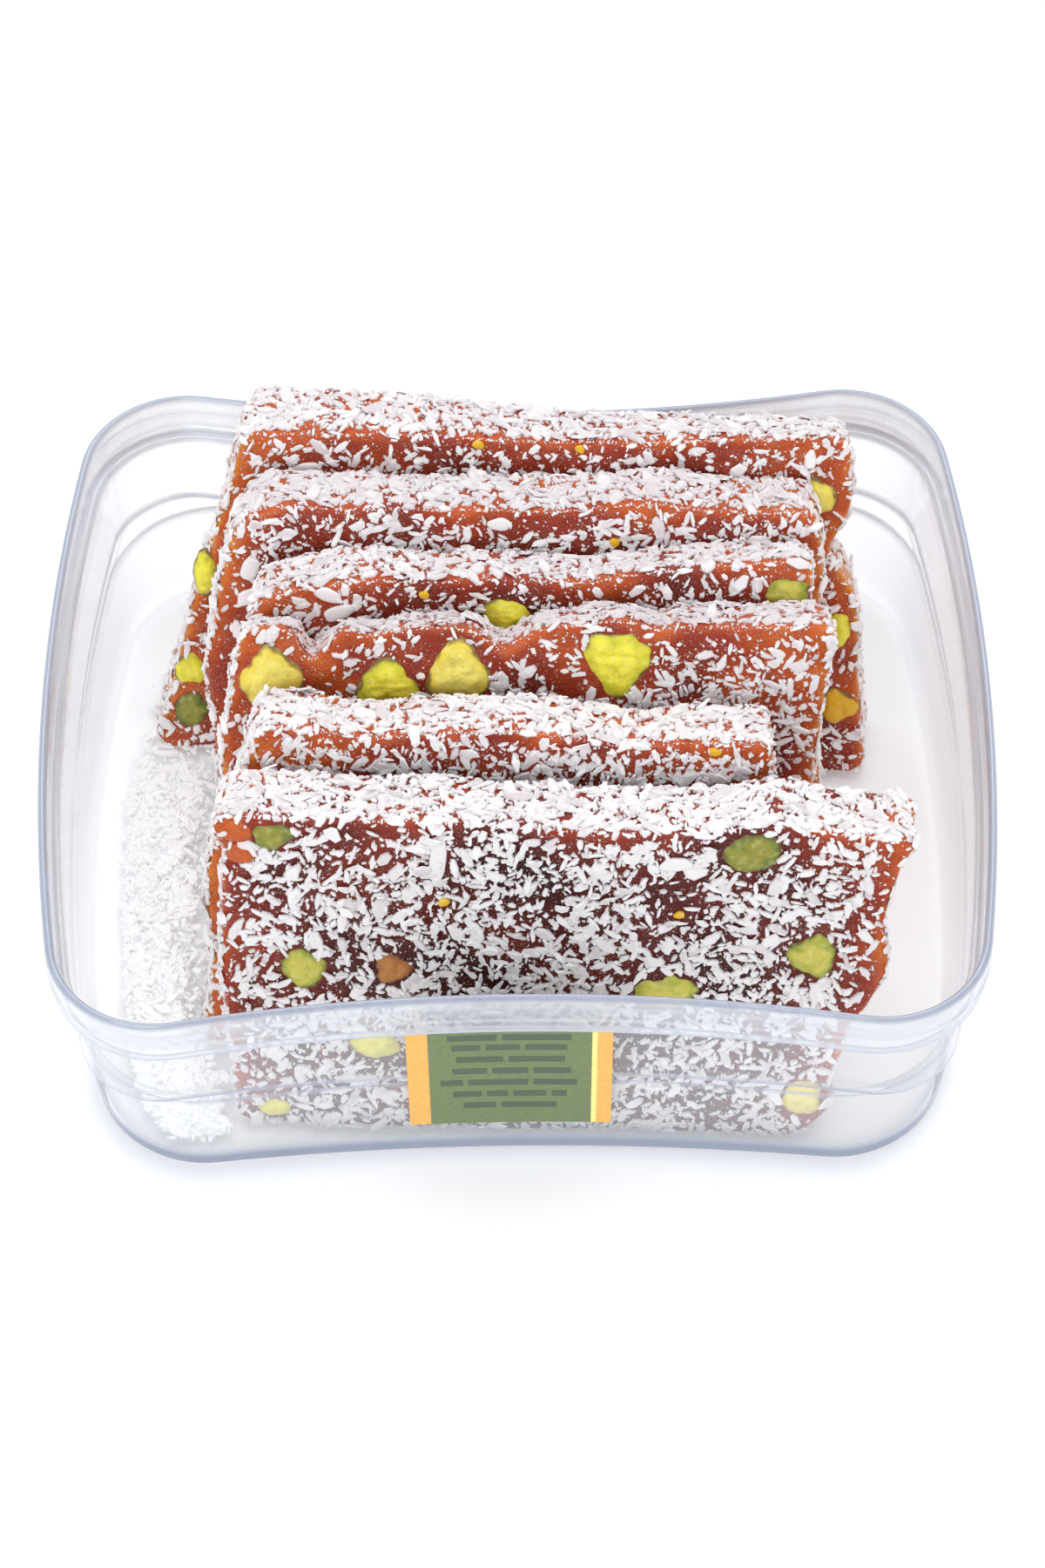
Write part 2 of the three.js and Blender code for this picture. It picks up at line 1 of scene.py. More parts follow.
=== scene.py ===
"""Pistachio cezerye in a clear plastic tub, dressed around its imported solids.

Six slabs of dark red gel rolled in coconut lean back on their long edges in a clear tub. Sizes are in
millimetres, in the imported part's own frame, and become metres when a mesh is made. A slab's own frame
has s along it to the right, v up its leaning face and z out of that face.
"""
import logging
import math
from dataclasses import dataclass, field
from enum import Enum

import bpy
import numpy as np
from mathutils import Euler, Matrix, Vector


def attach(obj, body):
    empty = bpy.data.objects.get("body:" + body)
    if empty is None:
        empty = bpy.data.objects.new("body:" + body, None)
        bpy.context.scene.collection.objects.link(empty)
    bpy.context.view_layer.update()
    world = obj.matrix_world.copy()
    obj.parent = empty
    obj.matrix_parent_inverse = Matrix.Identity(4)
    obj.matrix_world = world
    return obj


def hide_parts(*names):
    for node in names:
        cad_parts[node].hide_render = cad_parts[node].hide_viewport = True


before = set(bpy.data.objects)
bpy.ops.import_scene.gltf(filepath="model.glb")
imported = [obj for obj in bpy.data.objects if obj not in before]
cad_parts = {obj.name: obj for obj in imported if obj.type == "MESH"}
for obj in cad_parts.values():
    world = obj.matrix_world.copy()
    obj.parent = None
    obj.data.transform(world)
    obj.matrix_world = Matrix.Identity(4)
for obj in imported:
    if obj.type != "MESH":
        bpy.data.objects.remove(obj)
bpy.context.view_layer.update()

LOG = logging.getLogger("cezerye")

MM = 0.001
BODY = "root"
FULL_TURN = 2 * math.pi
TINY = 1e-9
BLACK = (0, 0, 0)
WHITE = (1, 1, 1)

Array = np.ndarray
Socket = bpy.types.NodeSocket
Material = bpy.types.Material
Pair = tuple[float, float]
Place = tuple[float, float, float]
Waves = tuple[Place, ...]
Colour = tuple[float, float, float]


# ---- shapes as whole arrays ----


def lerp(low: float | Array, high: float | Array, share: float | Array) -> Array:
    """low + (high - low) * share."""
    return low + (high - low) * share


def unit(vectors: Array) -> Array:
    """The rows of an array, each divided by its length."""
    return vectors / np.maximum(np.linalg.norm(vectors, axis=1, keepdims=True), TINY)


def fading(light: Pair, distance: Array) -> Array:
    """strength * exp(-distance / depth), for light given as (strength, depth)."""
    return light[0] * np.exp(-distance / light[1])


def pairs(first: int, second: int) -> tuple[Array, Array]:
    """All pairs of whole numbers below first and below second, the second one running fastest."""
    grids = np.meshgrid(np.arange(first), np.arange(second), indexing="ij")
    return grids[0].ravel(), grids[1].ravel()


def swellings(waves: Waves, at: Array) -> Array:
    """The sum of height * exp(-((at - place) / half width)^2) over an edge's swellings and notches.

    Args:
        waves: Place, height and half width of each.
        at: Places along the edge.

    Returns:
        One height for each place.
    """
    total = np.zeros_like(at, dtype=float)
    for place, height, half in waves:
        total += height * np.exp(-(((at - place) / half) ** 2))
    return total


def ripple(points: Array, wavelength: float, seed: int, count: int = 12) -> Array:
    """A smooth uneven field: a sum of sines over random directions, about -1 to 1.

    Args:
        points: Places, one row each, in millimetres.
        wavelength: Mean length of the sines, in millimetres.
        seed: Chooses the directions and phases.
        count: How many sines are summed.

    Returns:
        One value for each place.
    """
    draw = np.random.default_rng(seed)
    directions = unit(draw.normal(size=(count, 3)))
    pitch = wavelength * draw.uniform(0.65, 1.5, count)
    phase = draw.uniform(0, FULL_TURN, count)
    waves = np.sin(points @ (directions / pitch[:, None]).T * FULL_TURN + phase)
    return waves.sum(axis=1) / math.sqrt(count)


@dataclass
class Surface:
    """Points in millimetres, faces of one number of corners, values at the points and face finishes."""

    points: Array
    faces: Array
    values: dict[str, Array] = field(default_factory=dict)
    finish_index: Array | None = None


def joined(parts: list[Surface]) -> Surface:
    """One surface out of several.

    Args:
        parts: Surfaces that have the same sorts of faces and values.

    Returns:
        The surface, with their points and faces in that order.
    """
    starts = np.cumsum([0] + [len(part.points) for part in parts[:-1]])
    return Surface(
        np.concatenate([part.points for part in parts]),
        np.concatenate([part.faces + start for part, start in zip(parts, starts)]),
        {key: np.concatenate([part.values[key] for part in parts]) for key in parts[0].values},
    )


def lattice(counts: tuple[int, int, int]) -> tuple[Array, Array]:
    """The outer nodes of a block of cells, and its faces, which share their corners and face outwards.

    Args:
        counts: Cells along each axis.

    Returns:
        Whole-number places of the nodes, and four node numbers for each face.
    """
    faces = []
    for axis in range(3):
        u, v = (axis + 1) % 3, (axis + 2) % 3
        iu, iv = pairs(counts[u], counts[v])
        for side in (0, 1):
            steps = ((0, 0), (1, 0), (1, 1), (0, 1)) if side else ((0, 0), (0, 1), (1, 1), (1, 0))
            corners = np.zeros((len(iu), 4, 3), int)
            for corner, (du, dv) in enumerate(steps):
                corners[:, corner, u] = iu + du
                corners[:, corner, v] = iv + dv
                corners[:, corner, axis] = side * counts[axis]
            faces.append(corners)
    nodes, numbers = np.unique(np.concatenate(faces).reshape(-1, 3), axis=0, return_inverse=True)
    return nodes, numbers.reshape(-1, 4)


def ringed(rings: Array, first: Array, last: Array) -> tuple[Array, Array]:
    """A closed surface over rings that run anticlockwise seen from above, from under it to over it.

    Args:
        rings: Points by ring and by place round it.
        first: The pole below the first ring.
        last: The pole inside the last ring.

    Returns:
        The points, and triangles that face outwards.
    """
    count, around = rings.shape[:2]
    points = np.concatenate([first[None], rings.reshape(-1, 3), last[None]])
    ring, place = pairs(count - 1, around)
    after = (place + 1) % around
    a, b = 1 + ring * around + place, 1 + ring * around + after
    c, d = b + around, a + around
    i = np.arange(around)
    j = (i + 1) % around
    top = 1 + (count - 1) * around
    return points, np.concatenate([
        np.stack([np.zeros_like(i), 1 + j, 1 + i], 1),
        np.stack([a, b, c], 1),
        np.stack([a, c, d], 1),
        np.stack([np.full_like(i, len(points) - 1), top + i, top + j], 1),
    ])


def point_normals(points: Array, faces: Array) -> Array:
    """Unit normals at the points: the sum of the cross products of the faces round each.

    Args:
        points: The surface's points.
        faces: Point numbers by face and corner.

    Returns:
        One normal for each point.
    """
    a, b, c = (points[faces[:, k]] for k in range(3))
    normal = np.repeat(np.cross(b - a, c - a), faces.shape[1], axis=0)
    total = [np.bincount(faces.ravel(), normal[:, k], len(points)) for k in range(3)]
    return unit(np.stack(total, 1))


def make_piece(
    name: str, surface: Surface, finishes: list[Material], smooth: bool = True,
    stands_for: tuple[str, ...] = (),
) -> bpy.types.Object:
    """Makes a mesh object of a surface, dresses it and puts it in the part.

    Args:
        name: The piece's name.
        surface: Its shape, in millimetres.
        finishes: Its materials, in the order of the surface's finish_index.
        smooth: False for pieces whose faces are cut flat.
        stands_for: The CAD nodes that the piece replaces.

    Returns:
        The object.
    """
    mesh = bpy.data.meshes.new(name)
    count, corners = surface.faces.shape
    mesh.vertices.add(len(surface.points))
    mesh.vertices.foreach_set("co", (surface.points * MM).astype(np.float32).ravel())
    mesh.loops.add(count * corners)
    mesh.loops.foreach_set("vertex_index", surface.faces.astype(np.int32).ravel())
    mesh.polygons.add(count)
    mesh.polygons.foreach_set("loop_start", np.arange(0, count * corners, corners, dtype=np.int32))
    mesh.polygons.foreach_set("use_smooth", np.full(count, smooth))
    for finish in finishes:
        mesh.materials.append(finish)
    if surface.finish_index is not None:
        mesh.polygons.foreach_set("material_index", surface.finish_index.astype(np.int32))
    for key, value in surface.values.items():
        kind = "FLOAT" if value.ndim == 1 else "FLOAT_COLOR"
        label = "value" if value.ndim == 1 else "color"
        kept = mesh.attributes.new(key, kind, "POINT")
        kept.data.foreach_set(label, value.astype(np.float32).ravel())
    mesh.update(calc_edges=True)
    mesh.validate()
    piece = bpy.data.objects.new(name, mesh)
    bpy.context.scene.collection.objects.link(piece)
    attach(piece, BODY)
    if stands_for:
        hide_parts(*stands_for)
    LOG.info("%s: %d points, %d faces", name, len(surface.points), count)
    return piece


# ---- finishes ----


class Graph:
    """A material's node graph around its Principled shader, with noises sized in millimetres."""

    def __init__(self, name: str) -> None:
        """Starts a material.

        Args:
            name: The material's name.
        """
        self.material = bpy.data.materials.new(name)
        self.material.use_nodes = True
        self.tree = self.material.node_tree
        self.shader = self.tree.nodes["Principled BSDF"]
        self.place = self.node("ShaderNodeTexCoord").outputs["Object"]

    def node(self, kind: str, **settings: object) -> bpy.types.Node:
        """Adds a node.

        Args:
            kind: Its type.
            **settings: Its properties.

        Returns:
            The node.
        """
        made = self.tree.nodes.new(kind)
        for key, value in settings.items():
            setattr(made, key, value)
        return made

    def feed(self, socket: Socket, value: object) -> None:
        """Links a socket into another, or sets it to a plain value.

        Args:
            socket: The socket that is fed.
            value: A socket, a number, a vector or a colour.
        """
        if isinstance(value, Socket):
            self.tree.links.new(value, socket)
        else:
            socket.default_value = value

    def set(self, **values: object) -> None:
        """Feeds the shader's sockets; an underscore in a name stands for a space."""
        for key, value in values.items():
            self.feed(self.shader.inputs[key.replace("_", " ")], value)

    def noise(self, size: float, detail: float = 2.0, roughness: float = 0.5) -> Socket:
        """Noise from 0 to 1 on the object's own coordinates.

        Args:
            size: How wide its lumps are, in millimetres.
            detail: How many finer octaves it has.
            roughness: How strong they are.

        Returns:
            The noise.
        """
        made = self.node("ShaderNodeTexNoise")
        self.feed(made.inputs["Vector"], self.place)
        made.inputs["Scale"].default_value = 1 / (size * MM)
        made.inputs["Detail"].default_value = detail
        made.inputs["Roughness"].default_value = roughness
        return made.outputs["Fac"]

    def value(self, name: str, colour: bool = False) -> Socket:
        """A value or a colour that is kept at the piece's points."""
        made = self.node("ShaderNodeAttribute", attribute_name=name)
        return made.outputs["Color" if colour else "Fac"]

    def sum(self, operation: str, first: object, second: object, clamp: bool = False) -> Socket:
        """One step of arithmetic.

        Args:
            operation: The Math node's operation.
            first: A socket or a number.
            second: A socket or a number.
            clamp: Whether the result is kept between 0 and 1.

        Returns:
            The result.
        """
        made = self.node("ShaderNodeMath", operation=operation, use_clamp=clamp)
        self.feed(made.inputs[0], first)
        self.feed(made.inputs[1], second)
        return made.outputs[0]

    def around_zero(self, noise: Socket, depth: float) -> Socket:
        """noise * depth - depth / 2, which has its middle at 0.

        Args:
            noise: Noise from 0 to 1.
            depth: Its range afterwards.

        Returns:
            The stretched noise.
        """
        made = self.sum("MULTIPLY_ADD", noise, depth)
        made.node.inputs[2].default_value = -depth / 2
        return made

    def ramp(self, factor: Socket, stops: tuple[tuple[float, Colour], ...]) -> Socket:
        """Colours along a factor.

        Args:
            factor: The factor, from 0 to 1.
            stops: Each colour with its place.

        Returns:
            The colour.
        """
        made = self.node("ShaderNodeValToRGB")
        elements = made.color_ramp.elements
        elements[0].position, elements[1].position = stops[0][0], stops[-1][0]
        for place, _ in stops[1:-1]:
            elements.new(place)
        for element, (_, colour) in zip(elements, stops):
            element.color = (*colour, 1)
        self.feed(made.inputs["Fac"], factor)
        return made.outputs["Color"]

    def mix(self, factor: object, first: object, second: object) -> Socket:
        """A mix of two colours.

        Args:
            factor: How much of the second there is.
            first: A socket or a colour.
            second: A socket or a colour.

        Returns:
            The mixed colour.
        """
        made = self.node("ShaderNodeMix", data_type="RGBA")
        self.feed(made.inputs["Factor"], factor)
        for label, colour in (("A", first), ("B", second)):
            self.feed(next(s for s in made.inputs if s.name == label and s.type == "RGBA"),
                      (*colour, 1) if isinstance(colour, tuple) else colour)
        return next(s for s in made.outputs if s.type == "RGBA")

    def bump(self, height: Socket, depth: float) -> None:
        """Adds relief to the shader's normal.

        Args:
            height: The relief, from 0 to 1.
            depth: Its full depth in millimetres.
        """
        made = self.node("ShaderNodeBump")
        made.inputs["Strength"].default_value = 1.0
        made.inputs["Distance"].default_value = depth * MM
        self.feed(made.inputs["Height"], height)
        self.feed(self.shader.inputs["Normal"], made.outputs["Normal"])


@dataclass(frozen=True)
class GelFinish:
    """Translucent fruit gel: maroon where it is thick, orange-brown where light comes through it.

    tones are its colours along the glow, unevenness the sizes and depths of the noises that are added
    to the glow, and dust is the pale powder that sticks to it in patches.
    """

    tones: tuple[tuple[float, Colour], ...] = (
        (0.0, (0.046, 0.005, 0.006)), (0.26, (0.16, 0.019, 0.012)), (0.54, (0.37, 0.042, 0.015)),
        (0.75, (0.64, 0.12, 0.021)), (1.0, (0.88, 0.36, 0.020)))
    unevenness: tuple[Pair, ...] = ((9.0, 0.34), (2.6, 0.26), (0.5, 0.22))
    contrast: float = 0.75
    dust: Colour = (0.80, 0.64, 0.58)
    dust_share: float = 0.7
    dust_grain: float = 0.3
    dust_patch: float = 3.0
    bumps: float = 0.26

    def make(self) -> Material:
        """The gel, coloured by the pieces' glow, with pale grains, fine bumps and a moist sheen.

        Returns:
            The material.
        """
        graph = Graph("cezerye_gel")
        glow = graph.value("glow")
        for size, depth in self.unevenness:
            glow = graph.sum("ADD", glow, graph.around_zero(graph.noise(size, 3.0), depth))
        gel = graph.ramp(graph.sum("MULTIPLY", glow, self.contrast), self.tones)
        specks = graph.ramp(graph.noise(self.dust_grain, 1.0), ((0.6, BLACK), (0.68, WHITE)))
        patches = graph.ramp(graph.noise(self.dust_patch), ((0.38, (0.15, 0.15, 0.15)), (0.62, WHITE)))
        dusting = graph.sum("MULTIPLY", specks, graph.sum("MULTIPLY", patches, self.dust_share))
        graph.set(
            Base_Color=graph.mix(dusting, gel, self.dust), Roughness=0.3, Subsurface_Weight=0.12,
            Subsurface_Radius=(1.0, 0.32, 0.12), Subsurface_Scale=2.2 * MM, Specular_IOR_Level=0.22,
            Coat_Weight=0.05, Coat_Roughness=0.15)
        relief = graph.sum("ADD", graph.noise(0.5), graph.sum("MULTIPLY", specks, 0.5))
        graph.bump(relief, self.bumps)
        return graph.material


@dataclass(frozen=True)
class CoconutFinish:
    """Desiccated coconut: dry white flesh, each flake's tone drawn by chance between white and shaded, a
    painted shade.

    glow is painted light: an emission that brightens a deep white heap as if light passed on inside it.
    """

    name: str = "coconut"
    # The shaded colour is a painted shade: the grey, pinkish look of flakes in shadow.
    shaded: Colour = (0.70, 0.62, 0.635)
    white: Colour = (0.95, 0.92, 0.915)
    # Painted light, given by emission.
    glow: float = 0.0

    def make(self) -> Material:
        """The coconut, coloured by each flake's tone from the painted shade to white, with a faint fibre
        grain.

        Returns:
            The material.
        """
        graph = Graph(self.name)
        tone = graph.sum("ADD", graph.value("tone"), graph.sum("MULTIPLY", graph.noise(0.9), 0.3))
        graph.set(
            Base_Color=graph.ramp(tone, ((0.1, self.shaded), (0.75, self.white))), Roughness=0.62,
            Subsurface_Weight=0.1, Subsurface_Radius=(1.0, 0.9, 0.8), Subsurface_Scale=0.5 * MM,
            Specular_IOR_Level=0.35, Emission_Color=(1, 1, 1, 1), Emission_Strength=self.glow)
        graph.bump(graph.noise(0.35), 0.05)
        return graph.material


@dataclass(frozen=True)
class KernelFinish:
    """Cut nut flesh, coloured at the pieces' points, with fine pale fibres and a slight gloss."""

    name: str = "pistachio_flesh"
    pale: Colour = (0.90, 0.86, 0.42)
    vein: Colour = (0.34, 0.32, 0.03)

    def make(self) -> Material:
        """The flesh with darker veins, pale fibres, small pits and a soft light in it.

        Returns:
            The material.
        """
        graph = Graph(self.name)
        fibres = graph.ramp(graph.noise(1.1, 3.0), ((0.5, BLACK), (0.75, WHITE)))
        veins = graph.ramp(graph.noise(1.7, 4.0, 0.65), ((0.52, BLACK), (0.68, WHITE)))
        flesh = graph.mix(graph.sum("MULTIPLY", veins, 0.4), graph.value("flesh", colour=True), self.vein)
        graph.set(
            Base_Color=graph.mix(graph.sum("MULTIPLY", fibres, 0.3), flesh, self.pale), Roughness=0.5,
            Subsurface_Weight=0.1, Subsurface_Radius=(1.0, 0.9, 0.3), Subsurface_Scale=0.9 * MM)
        graph.bump(graph.noise(0.7, 3.0, 0.6), 0.22)
        return graph.material


@dataclass(frozen=True)
class ClearPlasticFinish:
    """Clear tub plastic: nearly unseen face on, and a bluish white where it is seen along its wall.

    Its opacity is face_on + edge_on * facing^power + bend_shade * bend + band_haze * band.
    painted_shade_colour is the blue-grey of the painted shade, for refraction lines where the wall
    bends and the shadowed floor seen through the foot's front, and mirror the share of its light that
    is mirrored.
    """

    clear: Colour = (0.87, 0.90, 0.935)
    slanted: Colour = (0.83, 0.87, 0.95)
    # A painted blue-grey shade for refraction lines and shadow, not a colour of the plastic.
    painted_shade_colour: Colour = (0.31, 0.345, 0.45)
    face_on: float = 0.05
    edge_on: float = 0.62
    power: float = 2.3
    bend_shade: float = 0.58
    band_haze: float = 0.24
    mirror: float = 0.2

    def make(self) -> Material:
        """The plastic, from the values bend, band and veil at the tub's points.

        Returns:
            The material.
        """
        graph = Graph("clear_plastic")
        layer = graph.node("ShaderNodeLayerWeight")
        layer.inputs["Blend"].default_value = 0.5
        facing, bend = layer.outputs["Facing"], graph.value("bend")
        rise = graph.sum("MULTIPLY", graph.sum("POWER", facing, self.power), self.edge_on)
        rise = graph.sum("ADD", graph.sum("MULTIPLY", rise, graph.value("veil")), self.face_on)
        shade = graph.sum("MULTIPLY", bend, self.bend_shade)
        haze = graph.sum("ADD", shade, graph.sum("MULTIPLY", graph.value("band"), self.band_haze))
        body = graph.ramp(facing, ((0.45, self.clear), (0.95, self.slanted)))
        # The painted shade darkens the base colour towards the blue-grey and adds to the opacity.
        graph.set(
            Base_Color=graph.mix(graph.sum("MULTIPLY", bend, 0.8), body, self.painted_shade_colour), Roughness=0.1,
            IOR=1.5, Alpha=graph.sum("ADD", rise, haze, clamp=True), Metallic=self.mirror)
        return graph.material


@dataclass(frozen=True)
class PaperFinish:
    """Printed label paper in one colour, with faint fibre and press grain."""

    name: str
    ink: Colour
    lighter: float = 1.18

    def make(self) -> Material:
        """The print with an uneven tone and a satin face.

        Returns:
            The material.
        """
        graph = Graph(self.name)
        pale = tuple(min(1.0, channel * self.lighter) for channel in self.ink)
        tone = graph.ramp(graph.noise(0.8, 3.0), ((0.35, self.ink), (0.7, pale)))
        graph.set(Base_Color=tone, Roughness=0.45, Coat_Weight=0.12, Coat_Roughness=0.2)
        graph.bump(graph.noise(0.3), 0.02)
        return graph.material


# ---- tub and label ----


@dataclass(frozen=True)
class Outline:
    """A rounded rectangle with half length a, half depth b and corner radius r, its short sides bulged
    and its long sides waisted at their middles."""

    a: float
    b: float
    r: float
    bulge: float
    waist: float

    def inset(self, by: float) -> "Outline":
        """The same outline drawn in by so much."""
        return Outline(self.a - by, self.b - by, self.r - by, self.bulge, self.waist)

    def row(self, z: float, line: float) -> list[float]:
        """The outline at a height, as a row of numbers that ends with how strongly the painted shade shows
        there.
        """
        return [z, self.a, self.b, self.r, self.bulge, self.waist, line]

    def reach(self, y: Array) -> Array:
        """How far the short sides reach: (a - r + sqrt(r^2 - beyond^2)) times the bulge's
        1 + bulge / a * (1 - (y / b)^2), where beyond is how far y is into the corner.

        Args:
            y: Places from front to back.

        Returns:
            The half length of the outline at each.
        """
        beyond = np.maximum(0, np.abs(y) - (self.b - self.r))
        straight = self.a - self.r + np.sqrt(np.maximum(0, self.r * self.r - beyond * beyond))
        return straight * (1 + self.bulge / self.a * (1 - (y / self.b) ** 2))


@dataclass
class Tub:
    """The clear tub: a wall that goes up outside, over the rim and down inside.

    The rim band starts at skirt and stands out by stand_out, with a bead round it. The shelf is where
    the corners turn from radius_below to radius_above. foot_painted_shadow and foot_reach say how strongly
    and how high a painted blue-grey shadow darkens the foot's front, least_bend and full_bend which
    bends get the painted shade of refraction lines, and the other fields from corner_steps on how finely
    the wall is divided.
    """

    rim: Outline = Outline(73.2, 68.3, 18.2, 6.8, 7.8)
    foot: Outline = Outline(69.6, 64.1, 17.8, 7.0, 4.75)
    height: float = 52.7
    wall: float = 1.0
    floor: float = 1.2
    edge: float = 1.4
    skirt: float = 41.6
    stand_out: float = 2.0
    lip: float = 0.8
    bead: float = 46.9
    bead_half: float = 0.6
    bead_out: float = 0.4
    inner_band: float = 46.4
    inner_step: float = 45.2
    shelf: float = 24.5
    shelf_rise: float = 1.0
    radius_above: float = 12.5
    radius_below: float = 21.0
    # Strength of the painted shadow on the foot's front.
    foot_painted_shadow: float = 2.4
    foot_reach: float = 7.5
    front_from: float = 25.0
    front_over: float = 20.0
    veil_loss: float = 0.85
    least_bend: float = 0.03
    full_bend: float = 0.3
    corner_steps: int = 20
    long_steps: int = 34
    short_steps: int = 28
    ring_step: float = 0.5
    most_rings: int = 12
    roundings: int = 2

    def wall_outline(self, z: float, r: float) -> Outline:
        """The outer outline below the rim band: a straight mix of foot and head by height.

        Args:
            z: The height.
            r: The corner radius there.

        Returns:
            The outline.
        """
        head, share = self.rim.inset(self.stand_out), z / self.skirt
        keys = ("a", "b", "bulge", "waist")
        mixed = {key: lerp(getattr(self.foot, key), getattr(head, key), share) for key in keys}
        return Outline(r=r, **mixed)

    def rows(self) -> Array:
        """The wall's outlines in order: under the foot, up outside, over the rim and down inside.

        Returns:
            A row of numbers for each outline.
        """
        rim, foot, edge, lip, height = self.rim, self.foot, self.edge, self.lip, self.height
        low, high = self.shelf - self.shelf_rise, self.shelf + self.shelf_rise
        below, above = self.wall_outline(low, self.radius_below), self.wall_outline(high, self.radius_above)
        over_edge = self.wall_outline(edge, foot.r)
        wall, lift = self.wall, 0.7 * self.wall
        return np.array([
            foot.inset(edge).row(0.0, 0.0),
            foot.inset(0.3 * edge).row(0.3 * edge, 1.0),
            over_edge.row(edge, 1.0),
            below.row(low, 1.0),
            above.row(high, 1.0),
            rim.inset(self.stand_out).row(self.skirt + 0.3, 1.0),
            rim.inset(0.4).row(self.skirt, 1.0),
            rim.row(self.skirt + lip, 1.0),
            rim.row(self.bead - self.bead_half, 0.4),
            rim.inset(-self.bead_out).row(self.bead, 0.4),
            rim.row(self.bead + self.bead_half, 0.4),
            rim.row(height - lip, 1.0),
            rim.inset(0.5).row(height, 1.0),
            rim.inset(1.1).row(height, 1.0),
            rim.inset(1.5).row(height - lip, 0.8),
            rim.inset(1.9).row(self.inner_band, 0.4),
            rim.inset(self.stand_out + wall).row(self.inner_step, 0.8),
            above.inset(wall).row(high + lift, 0.3),
            below.inset(wall).row(low + lift, 0.3),
            over_edge.inset(wall).row(edge + 0.8, 0.05),
            foot.inset(wall + 0.3 * edge).row(self.floor + 0.4 * edge, 0.05),
            foot.inset(wall + edge).row(self.floor, 0.05),
        ])

    def fine_rows(self) -> Array:
        """The outlines with more between them, then averaged with their neighbours, which rounds the
        wall's bends while its straight stretches stay.

        Returns:
            A row of numbers for each ring of the wall.
        """
        rows = self.rows()
        fine = []
        for here, after in zip(rows[:-1], rows[1:]):
            reach = math.hypot(*(after - here)[[0, 2]]) + abs(after[3] - here[3]) * 0.3
            steps = int(np.clip(math.ceil(reach / self.ring_step), 2, self.most_rings))
            fine.append(lerp(here, after, np.arange(steps)[:, None] / steps))
        fine = np.concatenate([*fine, rows[-1:]])
        for _ in range(self.roundings):
            fine[1:-1] = fine[:-2] * 0.25 + fine[1:-1] * 0.5 + fine[2:] * 0.25
        return fine

    def loop(self, row: Array) -> Array:
        """Points once round an outline: corner arcs joined by straight stretches, then x grows by
        1 + bulge / a * (1 - (y / b)^2) and y shrinks by 1 - waist / b * (1 - (x / a)^2).

        Args:
            row: The outline's numbers.

        Returns:
            The points, anticlockwise.
        """
        z, a, b, r, bulge, waist, _ = row
        points = []
        centres = np.array([[a - r, b - r], [r - a, b - r], [r - a, r - b], [a - r, r - b]])
        for quarter, centre in enumerate(centres):
            turn = (quarter + np.arange(self.corner_steps) / self.corner_steps) * math.pi / 2
            arc = centre + r * np.stack([np.cos(turn), np.sin(turn)], 1)
            last = (quarter + 1) * math.pi / 2
            way = np.array([math.cos(last), math.sin(last)]) * r
            steps = self.long_steps if quarter % 2 == 0 else self.short_steps
            share = np.arange(steps)[:, None] / steps
            points += [arc, lerp(centre + way, centres[(quarter + 1) % 4] + way, share)]
        x, y = np.concatenate(points).T
        return np.stack([
            x * (1 + bulge / a * (1 - (y / b) ** 2)), y * (1 - waist / b * (1 - (x / a) ** 2)),
            np.full(len(x), z)], 1)

    def surface(self) -> Surface:
        """The whole closed wall, with a pole in the middle of the floor, outside and inside. Its painted
        shade is the change of the profile's direction at a ring for each millimetre along the profile,
        with a painted shadow on the foot's front.

        Returns:
            The wall with the values bend, band and veil.
        """
        rows = self.fine_rows()
        rings = np.stack([self.loop(row) for row in rows])
        step = np.diff(rings, axis=0)
        length = np.maximum(np.linalg.norm(step, axis=2, keepdims=True), 1e-6)
        change = np.linalg.norm(np.diff(step / length, axis=0), axis=2)
        turn = change / (length[1:, :, 0] + length[:-1, :, 0])
        # Painted shade for the refraction lines where the profile turns.
        bend = np.pad(np.clip((turn - self.least_bend) / self.full_bend, 0, 1), ((1, 1), (0, 0)))
        outside = rows[:, -1:] > 0.5
        front = np.clip((-rings[..., 1] - self.front_from) / self.front_over, 0, 1) * outside
        low = np.clip(1 - rings[..., 2] / self.foot_reach, 0, 1)
        veil = 1 - self.veil_loss * low * (1 - front)
        # A painted blue-grey shadow on the foot's front, standing for the shadowed floor seen through it.
        bend = np.maximum(bend, self.foot_painted_shadow * low * front) * veil * rows[:, -1:]
        band = np.clip((rings[..., 2] - self.skirt) / self.lip, 0, 1)
        values = {key: np.concatenate([[0.0], value.ravel(), [0.0]]) for key, value in
                  (("bend", bend), ("band", band), ("veil", veil))}
        return Surface(*ringed(rings, np.zeros(3), np.array([0.0, 0.0, self.floor])), values)

    def front_wall(self, x: Array, z: Array) -> Array:
        """How far the front wall's outer face stands from the middle: b - waist * (1 - (x / a)^2).

        Args:
            x: Places across the wall.
            z: Their heights.

        Returns:
            The distance at each place.
        """
        head, share = self.rim.inset(self.stand_out), z / self.skirt
        keys = ("a", "b", "waist")
        a, b, waist = (lerp(getattr(self.foot, key), getattr(head, key), share) for key in keys)
        return b - waist * (1 - (x / a) ** 2)

    def build(self, plastic: Material) -> None:
        """Makes the tub."""
        make_piece("clear_tub", self.surface(), [plastic], stands_for=("tub",))


